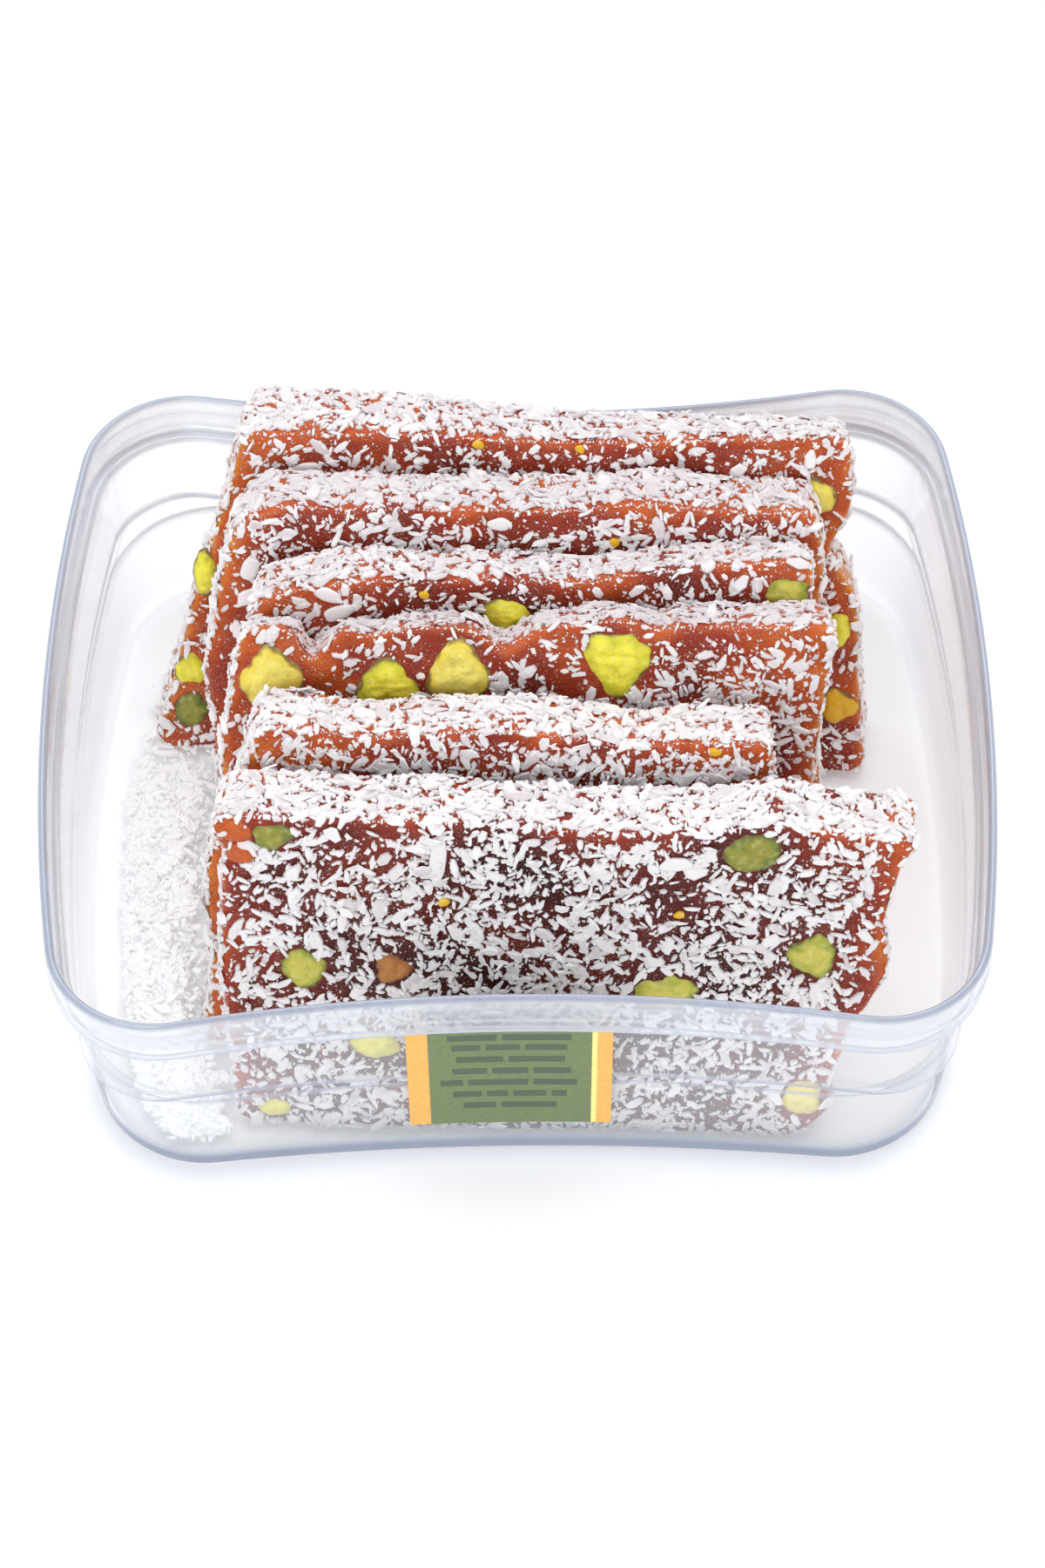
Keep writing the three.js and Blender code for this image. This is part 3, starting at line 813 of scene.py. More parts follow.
@dataclass
class Label:
    """The label on the front wall: a green field between amber bands, with plain bars on it.

    bands are the shares of its width where its fields end, and fields the number of each field's ink.
    bars are (height, start, end) as shares.
    """

    tub: Tub
    left: float = -18.6
    right: float = 15.2
    bottom: float = 10.6
    top: float = 40.4
    gap: float = 0.35
    thick: float = 0.25
    cell: float = 0.9
    least_gap: float = 0.006
    bands: tuple[float, ...] = (0.105, 0.90, 0.925)
    fields: tuple[int, ...] = (0, 1, 2, 0)
    bar_ink: int = 3
    bar_height: float = 0.064
    bars: tuple[Place, ...] = (
        (0.20, 0.27, 0.43), (0.20, 0.455, 0.73),
        (0.325, 0.22, 0.36), (0.325, 0.385, 0.49), (0.325, 0.515, 0.68), (0.325, 0.705, 0.78),
        (0.45, 0.16, 0.27), (0.45, 0.295, 0.59), (0.45, 0.615, 0.83),
        (0.575, 0.22, 0.39), (0.575, 0.415, 0.59), (0.575, 0.615, 0.80),
        (0.70, 0.24, 0.47), (0.70, 0.495, 0.77),
        (0.825, 0.22, 0.36), (0.825, 0.385, 0.55), (0.825, 0.575, 0.78),
        (0.93, 0.20, 0.44), (0.93, 0.465, 0.80))
    inks: tuple[tuple[str, Colour], ...] = (
        ("label_amber", (0.88, 0.45, 0.085)), ("label_green", (0.145, 0.195, 0.07)),
        ("label_yellow", (0.90, 0.84, 0.25)), ("label_bar", (0.06, 0.092, 0.045)))

    def lines(self, marks: list[float], extent: float) -> Array:
        """Grid lines that hold every mark, with no wider cell than the label's cell.

        Args:
            marks: Shares of the extent where colours change.
            extent: The label's width or height.

        Returns:
            The lines, from 0 to 1.
        """
        even = np.linspace(0, 1, int(extent / self.cell) + 1)
        fixed = np.unique(np.array([0.0, 1.0, *marks]))
        clear = np.abs(even[:, None] - fixed[None]).min(1) > self.least_gap
        return np.sort(np.concatenate([fixed, even[clear]]))

    def surface(self) -> Surface:
        """A thin closed plate that follows the wall, each face's colour chosen by the field it is in.

        Returns:
            The plate with the number of each face's ink.
        """
        half = self.bar_height / 2
        sides = [edge for _, start, end in self.bars for edge in (start, end)]
        levels = [at + side for at, _, _ in self.bars for side in (-half, half)]
        across = self.lines([*self.bands, *sides], self.right - self.left)
        up = self.lines(levels, self.top - self.bottom)
        nodes, faces = lattice((len(across) - 1, 1, len(up) - 1))
        u, w = across[nodes[:, 0]], up[nodes[:, 2]]
        x, z = lerp(self.left, self.right, u), lerp(self.bottom, self.top, w)
        out = self.gap + self.thick * (1 - nodes[:, 1])
        points = np.stack([x, -(self.tub.front_wall(x, z) + out), z], 1)
        mid_u, mid_w = u[faces].mean(1), w[faces].mean(1)
        finish = np.array(self.fields)[np.searchsorted(np.array(self.bands), mid_u)]
        for at, start, end in self.bars:
            within = (np.abs(mid_w - at) < half) & (mid_u > start) & (mid_u < end)
            finish[within] = self.bar_ink
        return Surface(points, faces, {}, finish)

    def build(self) -> None:
        """Makes the label in its four inks."""
        inks = [PaperFinish(name, ink).make() for name, ink in self.inks]
        make_piece("front_label", self.surface(), inks, smooth=False, stands_for=("label",))


# ---- coconut flakes ----


@dataclass(frozen=True)
class FlakeCut:
    """How one sort of coconut is cut and how it lies, in millimetres.

    length, width as a share of it, thick and lift are ranges, and lengths spread round their median.
    tilt, curl and twist are how askew and how curved the flakes are, jitter and reach how uneven their
    outline is, drawn_in how much smaller their upper rim is, crown how high their middle is as a share
    of the thickness, raised how much a leaning one is lifted, and tones shape the chance spread of their
    tone, from painted shade to white.
    """

    sides: int
    length: Pair
    median: float
    width: Pair
    thick: Pair
    lift: Pair
    tilt: float
    curl: float = 0.14
    twist: float = 0.12
    spread: float = 0.42
    jitter: float = 0.25
    reach: Pair = (0.84, 1.08)
    drawn_in: Pair = (0.72, 0.9)
    crown: float = 0.62
    raised: float = 0.22
    tones: Pair = (2.2, 1.4)


class Cut(Enum):
    """The sorts of desiccated coconut in the coating."""

    PLATE = FlakeCut(6, (1.6, 5.4), 2.5, (0.36, 0.62), (0.28, 0.55), (0.02, 0.3), 0.22)
    CHIP = FlakeCut(6, (1.2, 4.6), 2.0, (0.34, 0.62), (0.28, 0.55), (0.02, 0.36), 0.22)
    SHRED = FlakeCut(6, (1.4, 4.4), 2.4, (0.2, 0.34), (0.22, 0.4), (0.05, 0.4), 0.22)
    BIT = FlakeCut(4, (0.6, 1.9), 1.05, (0.42, 0.85), (0.2, 0.4), (0.0, 0.26), 0.3)
    CRUMB = FlakeCut(3, (0.25, 0.75), 0.42, (0.5, 0.95), (0.14, 0.3), (0.0, 0.12), 0.4)


def flake_surface(
    kind: Cut, places: Array, outward: Array, draw: np.random.Generator, lift: float = 0.0,
    tilt: float = 1.0,
) -> Surface:
    """Coconut flakes: thin plates of uneven many-sided outline, each curved, tilted and turned by chance.

    A flake's rim is (length / 2 * cos a, width / 2 * sin a) at uneven angles a and reaches, its upper
    rim is drawn in, its middle is raised, and the whole is curved by curl * x^2.

    Args:
        kind: The sort of flake.
        places: Where each lies.
        outward: The direction that faces out there.
        draw: The seeded numbers.
        lift: How much higher than usual they lie, for the upper layers of a thick coat.
        tilt: How much more than usual they lie askew.

    Returns:
        The flakes, with one tone for each.
    """
    cut = kind.value
    count, sides = len(places), cut.sides
    length = np.clip(cut.median * np.exp(draw.normal(0, cut.spread, count)), *cut.length)[:, None]
    width = length * draw.uniform(*cut.width, (count, 1))
    thick = draw.uniform(*cut.thick, (count, 1))
    jitter = draw.uniform(-cut.jitter, cut.jitter, (count, sides))
    angle = (np.arange(sides) + 0.5 + jitter) * FULL_TURN / sides
    reach = draw.uniform(*cut.reach, (count, sides))
    rim_x, rim_y = length / 2 * reach * np.cos(angle), width / 2 * reach * np.sin(angle)
    drawn_in = draw.uniform(*cut.drawn_in, (count, 1))
    middle = np.zeros((count, 1))
    x = np.concatenate([rim_x, rim_x * drawn_in, middle, middle], 1)
    y = np.concatenate([rim_y, rim_y * drawn_in, middle, middle], 1)
    flat = np.ones((count, sides))
    z = np.concatenate([-thick / 2 * flat, thick / 2 * flat, -thick / 2, thick * cut.crown], 1)
    z = z + draw.normal(0, cut.curl, (count, 1)) * (x / length * 2) ** 2 * length / 2
    z = z + draw.normal(0, cut.twist, (count, 1)) * x * y / length

    lean = np.abs(draw.normal(0, cut.tilt * tilt, count))[:, None]
    way = draw.normal(size=(count, 3))
    way = unit(way - (way * outward).sum(1, keepdims=True) * outward)
    up = np.cos(lean) * outward + np.sin(lean) * way
    along = draw.normal(size=(count, 3))
    along = unit(along - (along * up).sum(1, keepdims=True) * up)
    across = np.cross(up, along)
    height = draw.uniform(*cut.lift, (count, 1)) + lift + np.sin(lean) * length * cut.raised
    centre = places + outward * height
    points = (centre[:, None] + x[..., None] * along[:, None] + y[..., None] * across[:, None]
              + z[..., None] * up[:, None])

    i = np.arange(sides)
    j = (i + 1) % sides
    low, high = np.full(sides, 2 * sides), np.full(sides, 2 * sides + 1)
    pattern = np.concatenate([
        np.stack([i, j, j + sides], 1), np.stack([i, j + sides, i + sides], 1),
        np.stack([low, j, i], 1), np.stack([high, i + sides, j + sides], 1)])
    per_flake = 2 * sides + 2
    faces = (pattern[None] + np.arange(count)[:, None, None] * per_flake).reshape(-1, 3)
    # Each flake's tone, drawn by chance, sets how much painted shade the coconut finish gives it.
    tone = np.repeat(draw.beta(*cut.tones, count), per_flake)
    return Surface(points.reshape(-1, 3), faces, {"tone": tone})


# ---- slabs ----


class Side(Enum):
    """A slab's coated sides: the fixed axis, whether it is its far end, and the axes that span it."""

    FRONT = (2, 1, 0, 1)
    BACK = (2, 0, 1, 0)
    TOP = (1, 1, 2, 0)
    LEFT = (0, 0, 2, 1)
    RIGHT = (0, 1, 1, 2)


class Flesh(Enum):
    """Core and rim colours of the cut nuts."""

    OLIVE = ((0.30, 0.29, 0.030), (0.13, 0.18, 0.02))
    LEAF = ((0.66, 0.60, 0.09), (0.30, 0.36, 0.02))
    LIME = ((0.97, 0.88, 0.06), (0.70, 0.67, 0.02))
    GOLD = ((1.0, 0.86, 0.16), (0.95, 0.72, 0.06))
    YELLOW = ((0.92, 0.52, 0.008), (0.80, 0.44, 0.006))
    BROWN = ((0.55, 0.21, 0.05), (0.34, 0.11, 0.035))


@dataclass(frozen=True)
class Nut:
    """A nut piece set in a slab's face.

    place is its middle, size its extent across and up, lobes and turn the swellings of its outline and
    cross the depth of its seed grooves. It stands proud of the gel and reaches deep into it.
    """

    node: str
    place: Pair
    size: Pair
    lobes: int
    turn: float
    flesh: Flesh
    cross: float = 0.0
    skin: Colour = (0.16, 0.07, 0.035)
    proud: float = 0.95
    deep: float = 3.4
    around: int = 64

    def swell(self, number: int) -> Array:
        """The outline's reach round the piece: 1 + lobe * cos(lobes * angle) and two small ripples.

        Args:
            number: The piece's number, for its own unevenness.

        Returns:
            One reach for each place round it.
        """
        theta = np.arange(self.around) * FULL_TURN / self.around
        lobe = 0.13 if self.lobes == 3 else 0.07
        swell = 1 + lobe * np.cos(self.lobes * (theta - math.radians(self.turn)))
        return swell + 0.035 * np.sin(5 * theta + number) + 0.02 * np.sin(11 * theta + 2.3 * number)

    def colours(self, rows: Array, places: Array) -> Array:
        """The flesh's colours: core, then rim, then skin outwards, with an uneven border.

        Args:
            rows: Reach and height of each ring.
            places: The rings' points.

        Returns:
            A colour with full opacity for each point, the poles included.
        """
        reach = np.concatenate([[1.0], np.repeat(rows[:, 0], self.around), [0.0]])
        patch = np.concatenate([[0.0], ripple(places, 3.2, 12), [0.0]])
        flank = np.concatenate([[True], np.repeat(rows[:, 1] < -0.15, self.around), [False]])
        to_rim = np.clip((reach + 0.16 * patch - 0.55) / 0.4, 0, 1)[:, None]
        to_skin = np.clip((reach + 0.06 * patch - 0.90) / 0.05, 0, 0.85)[:, None]
        core, rim = (np.array(colour) for colour in self.flesh.value)
        colour = lerp(lerp(core, rim, to_rim), np.array(self.skin), np.maximum(to_skin, flank[:, None]))
        return np.concatenate([colour, np.ones((len(colour), 1))], 1)

    def surface(self, number: int, face: float) -> Surface:
        """A lobed dome, height = proud * (1 - r^3.4) less its grooves, closed underneath.

        Args:
            number: The piece's number, for its own unevenness.
            face: How far out the slab's face is.

        Returns:
            The closed surface in the slab's own frame, with its flesh colours.
        """
        under = np.array([[0.55, -self.deep], [0.85, -0.7 * self.deep], [1.0, -0.3 * self.deep],
                          [1.02, -0.35]])
        shares = np.linspace(1.0, 0.06, 15)
        over = np.stack([shares, self.proud * (1 - shares**3.4) - 0.1], 1)
        rows = np.concatenate([under, over])
        r, base = rows[:, :1], rows[:, 1:]
        theta = np.arange(self.around) * FULL_TURN / self.around
        swell = self.swell(number)
        x = r * swell * np.cos(theta) * self.size[0] / 2
        y = r * swell * np.sin(theta) * self.size[1] / 2
        places = np.stack([x + 31 * number, y, np.zeros_like(x)], 2).reshape(-1, 3)
        uneven = ripple(places, 2.4, 7).reshape(x.shape) * 0.16
        uneven = uneven + ripple(places, 6.0, 8).reshape(x.shape) * 0.2
        crossing = 0.7 * np.exp(-(((y - 0.12 * self.size[1]) / 0.4) ** 2))
        groove = self.cross * (np.exp(-((x / 0.45) ** 2)) + crossing)
        inside = np.clip(1.15 - r, 0, 1) * np.clip(r * 4, 0, 1) * (base > -0.3)
        z = base + (uneven - groove) * inside
        s, v = self.place
        low, high = np.array([s, v, face - self.deep - 0.2]), np.array([s, v, face + z[-1].mean() + 0.01])
        points, faces = ringed(np.stack([s + x, v + y, face + z], 2), low, high)
        return Surface(points, faces, {"flesh": self.colours(rows, places)})


class Stuff(Enum):
    """What a blob on a slab is, as the key of its finish and the name of the value kept at its points."""

    COCONUT = ("coconut", "tone")
    GEL = ("gel", "glow")
    PISTACHIO = ("pistachio", "flesh")


@dataclass(frozen=True)
class Blob:
    """A large flake, a lump of gel or a nut crumb on a slab's front, with its long side turned."""

    stuff: Stuff
    s: float
    v: float
    long: float
    wide: float
    turn: float = 0.0
    proud: float = 0.45

    def surface(self, number: int, face: float) -> Surface:
        """A flat-topped blob of uneven round outline, its foot sunk in the slab's face.

        Args:
            number: Its number, for its own unevenness.
            face: How far out the slab's face is.

        Returns:
            The closed surface in the slab's own frame, with the value of its stuff.
        """
        theta = np.arange(20) * FULL_TURN / 20
        uneven = 0.10 * np.cos(2 * theta + number) + 0.07 * np.cos(3 * theta + 1.7 * number)
        swell = 1 + uneven + 0.05 * np.cos(5 * theta + 2.9 * number)
        rows = np.array([[0.85, -1.2], [1.0, 0.1], [0.97, 0.7], [0.84, 0.95], [0.45, 1.05], [0.1, 1.05]])
        x = rows[:, :1] * swell * np.cos(theta) * self.long / 2
        y = rows[:, :1] * swell * np.sin(theta) * self.wide / 2
        turn = math.radians(self.turn)
        z = face + rows[:, 1:] * self.proud + 0.05 * np.sin(2.1 * x + number)
        s = self.s + x * math.cos(turn) - y * math.sin(turn)
        v = self.v + x * math.sin(turn) + y * math.cos(turn)
        low = np.array([self.s, self.v, face - 1.2 * self.proud])
        high = np.array([self.s, self.v, z[-1].mean()])
        points, faces = ringed(np.stack([s, v, z], 2), low, high)
        value = {
            Stuff.COCONUT: np.full(len(points), 0.75),
            Stuff.GEL: np.full(len(points), 1.02),
            Stuff.PISTACHIO: np.tile([*Flesh.YELLOW.value[0], 1.0], (len(points), 1)),
        }[self.stuff]
        return Surface(points, faces, {self.stuff.value[1]: value})


COAT_LAYERS: tuple[tuple[Side, Cut, float, float], ...] = (
    (Side.FRONT, Cut.CHIP, 0.38, 0.0), (Side.FRONT, Cut.SHRED, 0.26, 0.05),
    (Side.FRONT, Cut.BIT, 0.36, 0.0), (Side.FRONT, Cut.CRUMB, 1.0, 0.0),
    (Side.TOP, Cut.PLATE, 0.38, -0.1), (Side.TOP, Cut.SHRED, 0.2, 0.0),
    (Side.TOP, Cut.BIT, 0.42, 0.05), (Side.TOP, Cut.CRUMB, 1.0, 0.05),
    (Side.LEFT, Cut.CHIP, 0.5, 0.0), (Side.LEFT, Cut.SHRED, 0.15, 0.1), (Side.LEFT, Cut.BIT, 0.35, 0.05),
    (Side.RIGHT, Cut.CHIP, 0.4, 0.0), (Side.RIGHT, Cut.SHRED, 0.2, 0.0),
    (Side.RIGHT, Cut.BIT, 0.4, 0.0), (Side.RIGHT, Cut.CRUMB, 1.0, 0.0),
    (Side.BACK, Cut.CHIP, 0.6, 0.0), (Side.BACK, Cut.SHRED, 0.2, 0.0), (Side.BACK, Cut.BIT, 0.2, 0.0),
)
"""The coating's layers: side, cut, share of the side's flakes, and how much higher they lie."""


@dataclass(frozen=True)
class Coat:
    """How much coconut lies on a slab, in flakes per square millimetre of each side.

    The front's part under hidden_below is behind the next slab. specks are its crumbs, bare_edge is the
    height of the thinly coated band under its top, edge_line the crumbs per millimetre along the top,
    bare the front's thin stretches as (place, loss, half width), set_back the top's thin strip behind
    its front edge, top_shade_tone how white the top's flakes are, a painted shade that greys the tops of
    the back slabs, and top_tilt how askew the top's flakes are.
    """

    front: float
    top: float
    left: float = 1.0
    right: float = 0.4
    back: float = 0.05
    hidden_below: float = 48.0
    specks: float = 0.8
    bare_edge: float = 2.0
    edge_line: float = 3.5
    bare: Waves = ()
    set_back: float = 2.0
    # The top flakes' tone factor below is a painted shade. Lower values grey the tops of the back slabs.
    top_shade_tone: float = 0.6
    top_tilt: float = 0.8

    def density(self, side: Side, cut: Cut, share: float) -> float:
        """Flakes of one cut per square millimetre of a side: their share of it, or the specks."""
        return self.specks if cut is Cut.CRUMB else getattr(self, side.name.lower()) * share


@dataclass(frozen=True)
class Thinning:
    """How flakes thin out on a slab, as chances that they stay and distances in millimetres.

    band and crumb_band are what is lost in the bare band, whose border is as soft as 1 / sharpness.
    at_end and end_reach thin the front's ends. behind_next is what stays on the part that the next slab
    covers, out to covered on both sides. patch is the mean, depth, wavelength and least chance of
    uneven patches, and least the least in bare stretches. Flakes stay off a nut by off_nut and off a
    blob by off_blob of its length, up to longest_blob. strip and strip_least thin the top's front.
    """

    band: float = 0.8
    crumb_band: float = 0.45
    sharpness: float = 1.6
    at_end: float = 0.35
    end_reach: float = 9.0
    behind_next: float = 0.05
    covered: float = 43.0
    patch: tuple[float, float, float, float] = (0.9, 0.3, 14.0, 0.4)
    least: float = 0.05
    off_nut: float = 1.1
    crumbs_off_nut: float = 1.02
    off_blob: float = 0.45
    longest_blob: float = 4.0
    strip: float = 0.8
    strip_least: float = 0.15


@dataclass(frozen=True)
class GelLight:
    """How light fades in a slab, as (strength, depth in millimetres): at its top edge's lip, further
    down from its top, and in its ends' rind, with an uneven part of the given wavelength."""

    lip: Pair = (0.26, 1.6)
    top: Pair = (0.20, 14.0)
    rind: Pair = (0.2, 1.0)
    end_depth: float = 9.0
    uneven: Pair = (0.14, 16.0)
    most: float = 0.95


@dataclass
class Slab:
    """One slab of gel: its place in the tub, its outline on its own leaning face, its coat and nuts.

    y is where its front face meets the tub's floor, yaw its turn and lean how far it leans back, in
    degrees. left, right and top are its edges at their two ends, with the swellings and notches of
    each edge as (place, height, half width). slant is the drop of the top from front to back, and
    corners are the radii of its outline. light and end_light say how much light its middle and its
    ends let through. It stands at height standing, its flakes reach down to lowest, and edge rounds
    its block, which is divided into cells.
    """

    name: str
    y: float
    yaw: float
    lean: float
    thick: float
    slant: Pair
    corners: tuple[float, float, float, float]
    left: Pair
    right: Pair
    top: Pair
    coat: Coat
    seed: int
    light: float = 0.38
    end_light: float = 0.45
    left_waves: Waves = ()
    right_waves: Waves = ()
    top_waves: Waves = ()
    nuts: tuple[Nut, ...] = ()
    blobs: tuple[Blob, ...] = ()
    thinning: Thinning = Thinning()
    gel_light: GelLight = GelLight()
    standing: float = 1.55
    lowest: float = 1.25
    edge: float = 0.9
    cell: float = 0.8
    probe: float = 0.3

    @property
    def block(self) -> Array:
        """Length, height and thickness of the plain block that the slab is shaped from."""
        return np.array([np.mean(self.right) - np.mean(self.left), np.mean(self.top), self.thick])

    def soften(self, block: Array) -> Array:
        """Rounds the block's edges: a surface point moves to the inner block's nearest point plus the
        edge radius along the way between them, and corners of the outline become arcs.

        Args:
            block: Points on the block.

        Returns:
            Points on the rounded block.
        """
        size = self.block
        inner = np.clip(block, self.edge, size - self.edge)
        soft = inner + unit(block - inner) * self.edge
        ends = ((0, 0), (1, 0), (1, 1), (0, 1))
        for (far_x, far_y), radius in zip(ends, self.corners):
            centre = np.array([radius if not far_x else size[0] - radius,
                               radius if not far_y else size[1] - radius])
            sign = np.array([1 if far_x else -1, 1 if far_y else -1])
            out = (soft[:, :2] - centre) * sign
            inside = (out > 0).all(1)
            square = out[inside].max(1)
            circle = np.linalg.norm(out[inside], axis=1)
            soft[inside, :2] = centre + sign * out[inside] * (square / circle)[:, None]
        return soft

    def along(self, s: Array) -> Array:
        """The share of the top edge's length at s."""
        return (s - self.left[1]) / (self.right[1] - self.left[1])

    def roof(self, s: Array) -> Array:
        """Height of the top edge over s: a straight line between its ends plus its swellings."""
        return lerp(self.top[0], self.top[1], self.along(s)) + swellings(self.top_waves, s)

    def ends(self, v: Array) -> tuple[Array, Array]:
        """Where the left and right ends are at height v: straight lines with their swellings."""
        left = lerp(*self.left, np.clip(v / self.top[0], 0, 1)) - swellings(self.left_waves, v)
        return left, lerp(*self.right, np.clip(v / self.top[1], 0, 1)) + swellings(self.right_waves, v)

    def local(self, block: Array) -> Array:
        """Shapes block points into the slab's own frame: across between its wavy ends, up to its wavy
        top, then the foot sheared flat on the floor and the top slanted from front to back.

        Args:
            block: Points on the rounded block.

        Returns:
            The same points in the slab's own frame.
        """
        length, height, _ = self.block
        a, b = block[:, 0] / length, block[:, 1] / height
        v = b * self.roof(lerp(self.left[1], self.right[1], a))
        s = lerp(*self.ends(v), a)
        behind = self.thick - block[:, 2]
        share = np.clip(v / max(self.top), 0, 1)
        along = np.clip(self.along(s), 0, 1)
        v = v + math.tan(math.radians(self.lean)) * behind * (1 - share) ** 3
        v = v - lerp(*self.slant, along) * (behind / self.thick) * share**3
        return np.stack([s, v, block[:, 2]], 1)

    def world(self, local: Array) -> Array:
        """Leans, turns and stands points in the tub, by two rotations and a shift.

        Args:
            local: Points in the slab's own frame.

        Returns:
            The same points in the part's frame.
        """
        lean, yaw = math.radians(self.lean), math.radians(self.yaw)
        s, v, out = local[:, 0], local[:, 1], local[:, 2] - self.thick
        depth = v * math.sin(lean) - out * math.cos(lean)
        height = v * math.cos(lean) + out * math.sin(lean)
        return np.stack([
            s * math.cos(yaw) - depth * math.sin(yaw),
            s * math.sin(yaw) + depth * math.cos(yaw) + self.y,
            height + self.standing], 1)

    def relief(self, points: Array) -> Array:
        """The gel's soft unevenness: two ripples of long and short wavelength."""
        return 0.26 * ripple(points, 11.0, 3 + self.seed) + 0.10 * ripple(points, 2.6, 40 + self.seed)

    def glow(self, local: Array) -> Array:
        """How much light comes through: it falls off with the distance from the top and the ends.

        Args:
            local: Points in the slab's own frame.

        Returns:
            The light at each, about 0 to 1.
        """
        lit = self.gel_light
        s, v = local[:, 0], local[:, 1]
        start, end = self.ends(v)
        below = np.maximum(self.roof(s) - v, 0)
        inward = np.maximum(np.minimum(s - start, end - s), 0)
        near_top = fading(lit.lip, below) + fading(lit.top, below)
        near_end = fading((self.end_light, lit.end_depth), inward)
        uneven = lit.uneven[0] * ripple(local, lit.uneven[1], 90 + self.seed)
        glow = np.clip(self.light + near_top + near_end + uneven, 0, lit.most)
        return glow + fading(lit.rind, inward)

    def body(self) -> Surface:
        """The slab of gel over a softened lattice, its relief along its normals.

        Returns:
            The closed surface with its glow.
        """
        counts = tuple(int(round(extent / self.cell)) for extent in self.block)
        nodes, faces = lattice(counts)
        local = self.local(self.soften(nodes / np.array(counts) * self.block))
        points = self.world(local)
        points = points + point_normals(points, faces) * self.relief(points)[:, None]
        return Surface(points, faces, {"glow": self.glow(local)})

    def at(self, block: Array, side: Side) -> tuple[Array, Array, Array]:
        """Places on a side with the directions that face out there, by small steps along the side.

        Args:
            block: Points on that side of the block.
            side: Which side.

        Returns:
            Points in the slab's own frame, in the part's frame, and unit normals.
        """
        _, _, first, second = side.value
        local = self.local(self.soften(block))
        here = self.world(local)
        ways = []
        for axis in (first, second):
            onward = np.where(block[:, axis] + self.probe < self.block[axis], 1, -1)
            moved = block.copy()
            moved[:, axis] += self.probe * onward
            way = self.world(self.local(self.soften(moved))) - here
            ways.append(way * onward[:, None])
        normal = unit(np.cross(*ways))
        return local, here + normal * self.relief(here)[:, None], normal

    def scatter(self, side: Side, density: float, draw: np.random.Generator) -> Array:
        """Places spread over a side, on a jittered grid so that they are even but not regular.

        Args:
            side: Which side.
            density: How many there are per square millimetre.
            draw: The seeded numbers.

        Returns:
            Points on the block.
        """
        axis, far, first, second = side.value
        size = self.block
        count = max(1, int(density * size[first] * size[second]))
        across = max(1, int(round(math.sqrt(count * size[first] / size[second]))))
        up = max(1, int(math.ceil(count / across)))
        block = np.zeros((across * up, 3))
        block[:, axis] = far * size[axis]
        for way, number, total in zip((first, second), pairs(across, up), (across, up)):
            share = (number + draw.uniform(-0.4, 1.4, len(number))) / total
            block[:, way] = np.clip(share, 0.004, 0.996) * size[way]
        return block

    def front_chance(self, local: Array, crumbs: bool) -> Array:
        """The chance that a flake on the front stays: none over the nuts and blobs, little in bare
        patches, in the bare band under the top edge, at the ends and behind the next slab.

        Args:
            local: Places in the slab's own frame.
            crumbs: Whether the flakes are small ones.

        Returns:
            One chance for each place.
        """
        thin, coat = self.thinning, self.coat
        s, v = local[:, 0], local[:, 1]
        below = self.roof(s) - v
        band = 1 / (1 + np.exp((below - coat.bare_edge) * thin.sharpness))
        chance = 1 - (thin.crumb_band if crumbs else thin.band) * band
        ends = np.minimum(s - np.interp(v, (0, self.top[0]), self.left),
                          np.interp(v, (0, self.top[1]), self.right) - s)
        chance *= np.clip(thin.at_end + ends / thin.end_reach, 0, 1)
        hidden = (v < coat.hidden_below) & (np.abs(s) < thin.covered)
        chance *= np.where(hidden, thin.behind_next, 1)
        mean, depth, wavelength, least = thin.patch
        chance *= np.clip(mean + depth * ripple(local, wavelength, 60 + self.seed), least, 1)
        chance *= np.clip(1 - swellings(coat.bare, s), thin.least, 1)
        for blob in self.blobs:
            chance *= np.hypot(s - blob.s, v - blob.v) > thin.off_blob * min(blob.long, thin.longest_blob)
        for nut in self.nuts:
            (nut_s, nut_v), (across, up) = nut.place, nut.size
            reach = np.hypot((s - nut_s) / (across / 2), (v - nut_v) / (up / 2))
            chance *= reach >= (thin.crumbs_off_nut if crumbs else thin.off_nut)
        return chance

    def kept(self, local: Array, side: Side, crumbs: bool, draw: np.random.Generator) -> Array:
        """Which flakes stay.

        Args:
            local: Places in the slab's own frame.
            side: Which side they are on.
            crumbs: Whether the flakes are small ones.
            draw: The seeded numbers.

        Returns:
            True for each that stays.
        """
        chance = np.ones(len(local))
        if side is Side.FRONT:
            chance = self.front_chance(local, crumbs)
        if side is Side.TOP:
            strip = (self.thick - local[:, 2] - self.coat.set_back) / self.thinning.strip
            chance *= np.clip(strip + 1, self.thinning.strip_least, 1)
        return draw.uniform(size=len(local)) < chance

    def coating(self) -> dict[Cut, Surface]:
        """All the coconut on the slab.

        Returns:
            One surface for each sort of flake.
        """
        draw = np.random.default_rng(500 + self.seed)
        coat = self.coat
        parts: dict[Cut, list[Surface]] = {cut: [] for cut in Cut}
        for side, cut, share, lift in COAT_LAYERS:
            block = self.scatter(side, coat.density(side, cut, share), draw)
            local, places, outward = self.at(block, side)
            keep = self.kept(local, side, cut in (Cut.CRUMB, Cut.BIT), draw)
            # On the top, each flake's tone is lowered by a painted shade.
            tone, tilt = (coat.top_shade_tone, coat.top_tilt) if side is Side.TOP else (1.0, 1.0)
            flakes = flake_surface(cut, places[keep], outward[keep], draw, lift, tilt)
            flakes.values["tone"] *= tone
            flakes.points[:, 2] = np.maximum(flakes.points[:, 2], self.lowest)
            parts[cut].append(flakes)
        parts[Cut.CRUMB].append(self.edge_crumbs(draw))
        return {cut: joined(found) for cut, found in parts.items()}

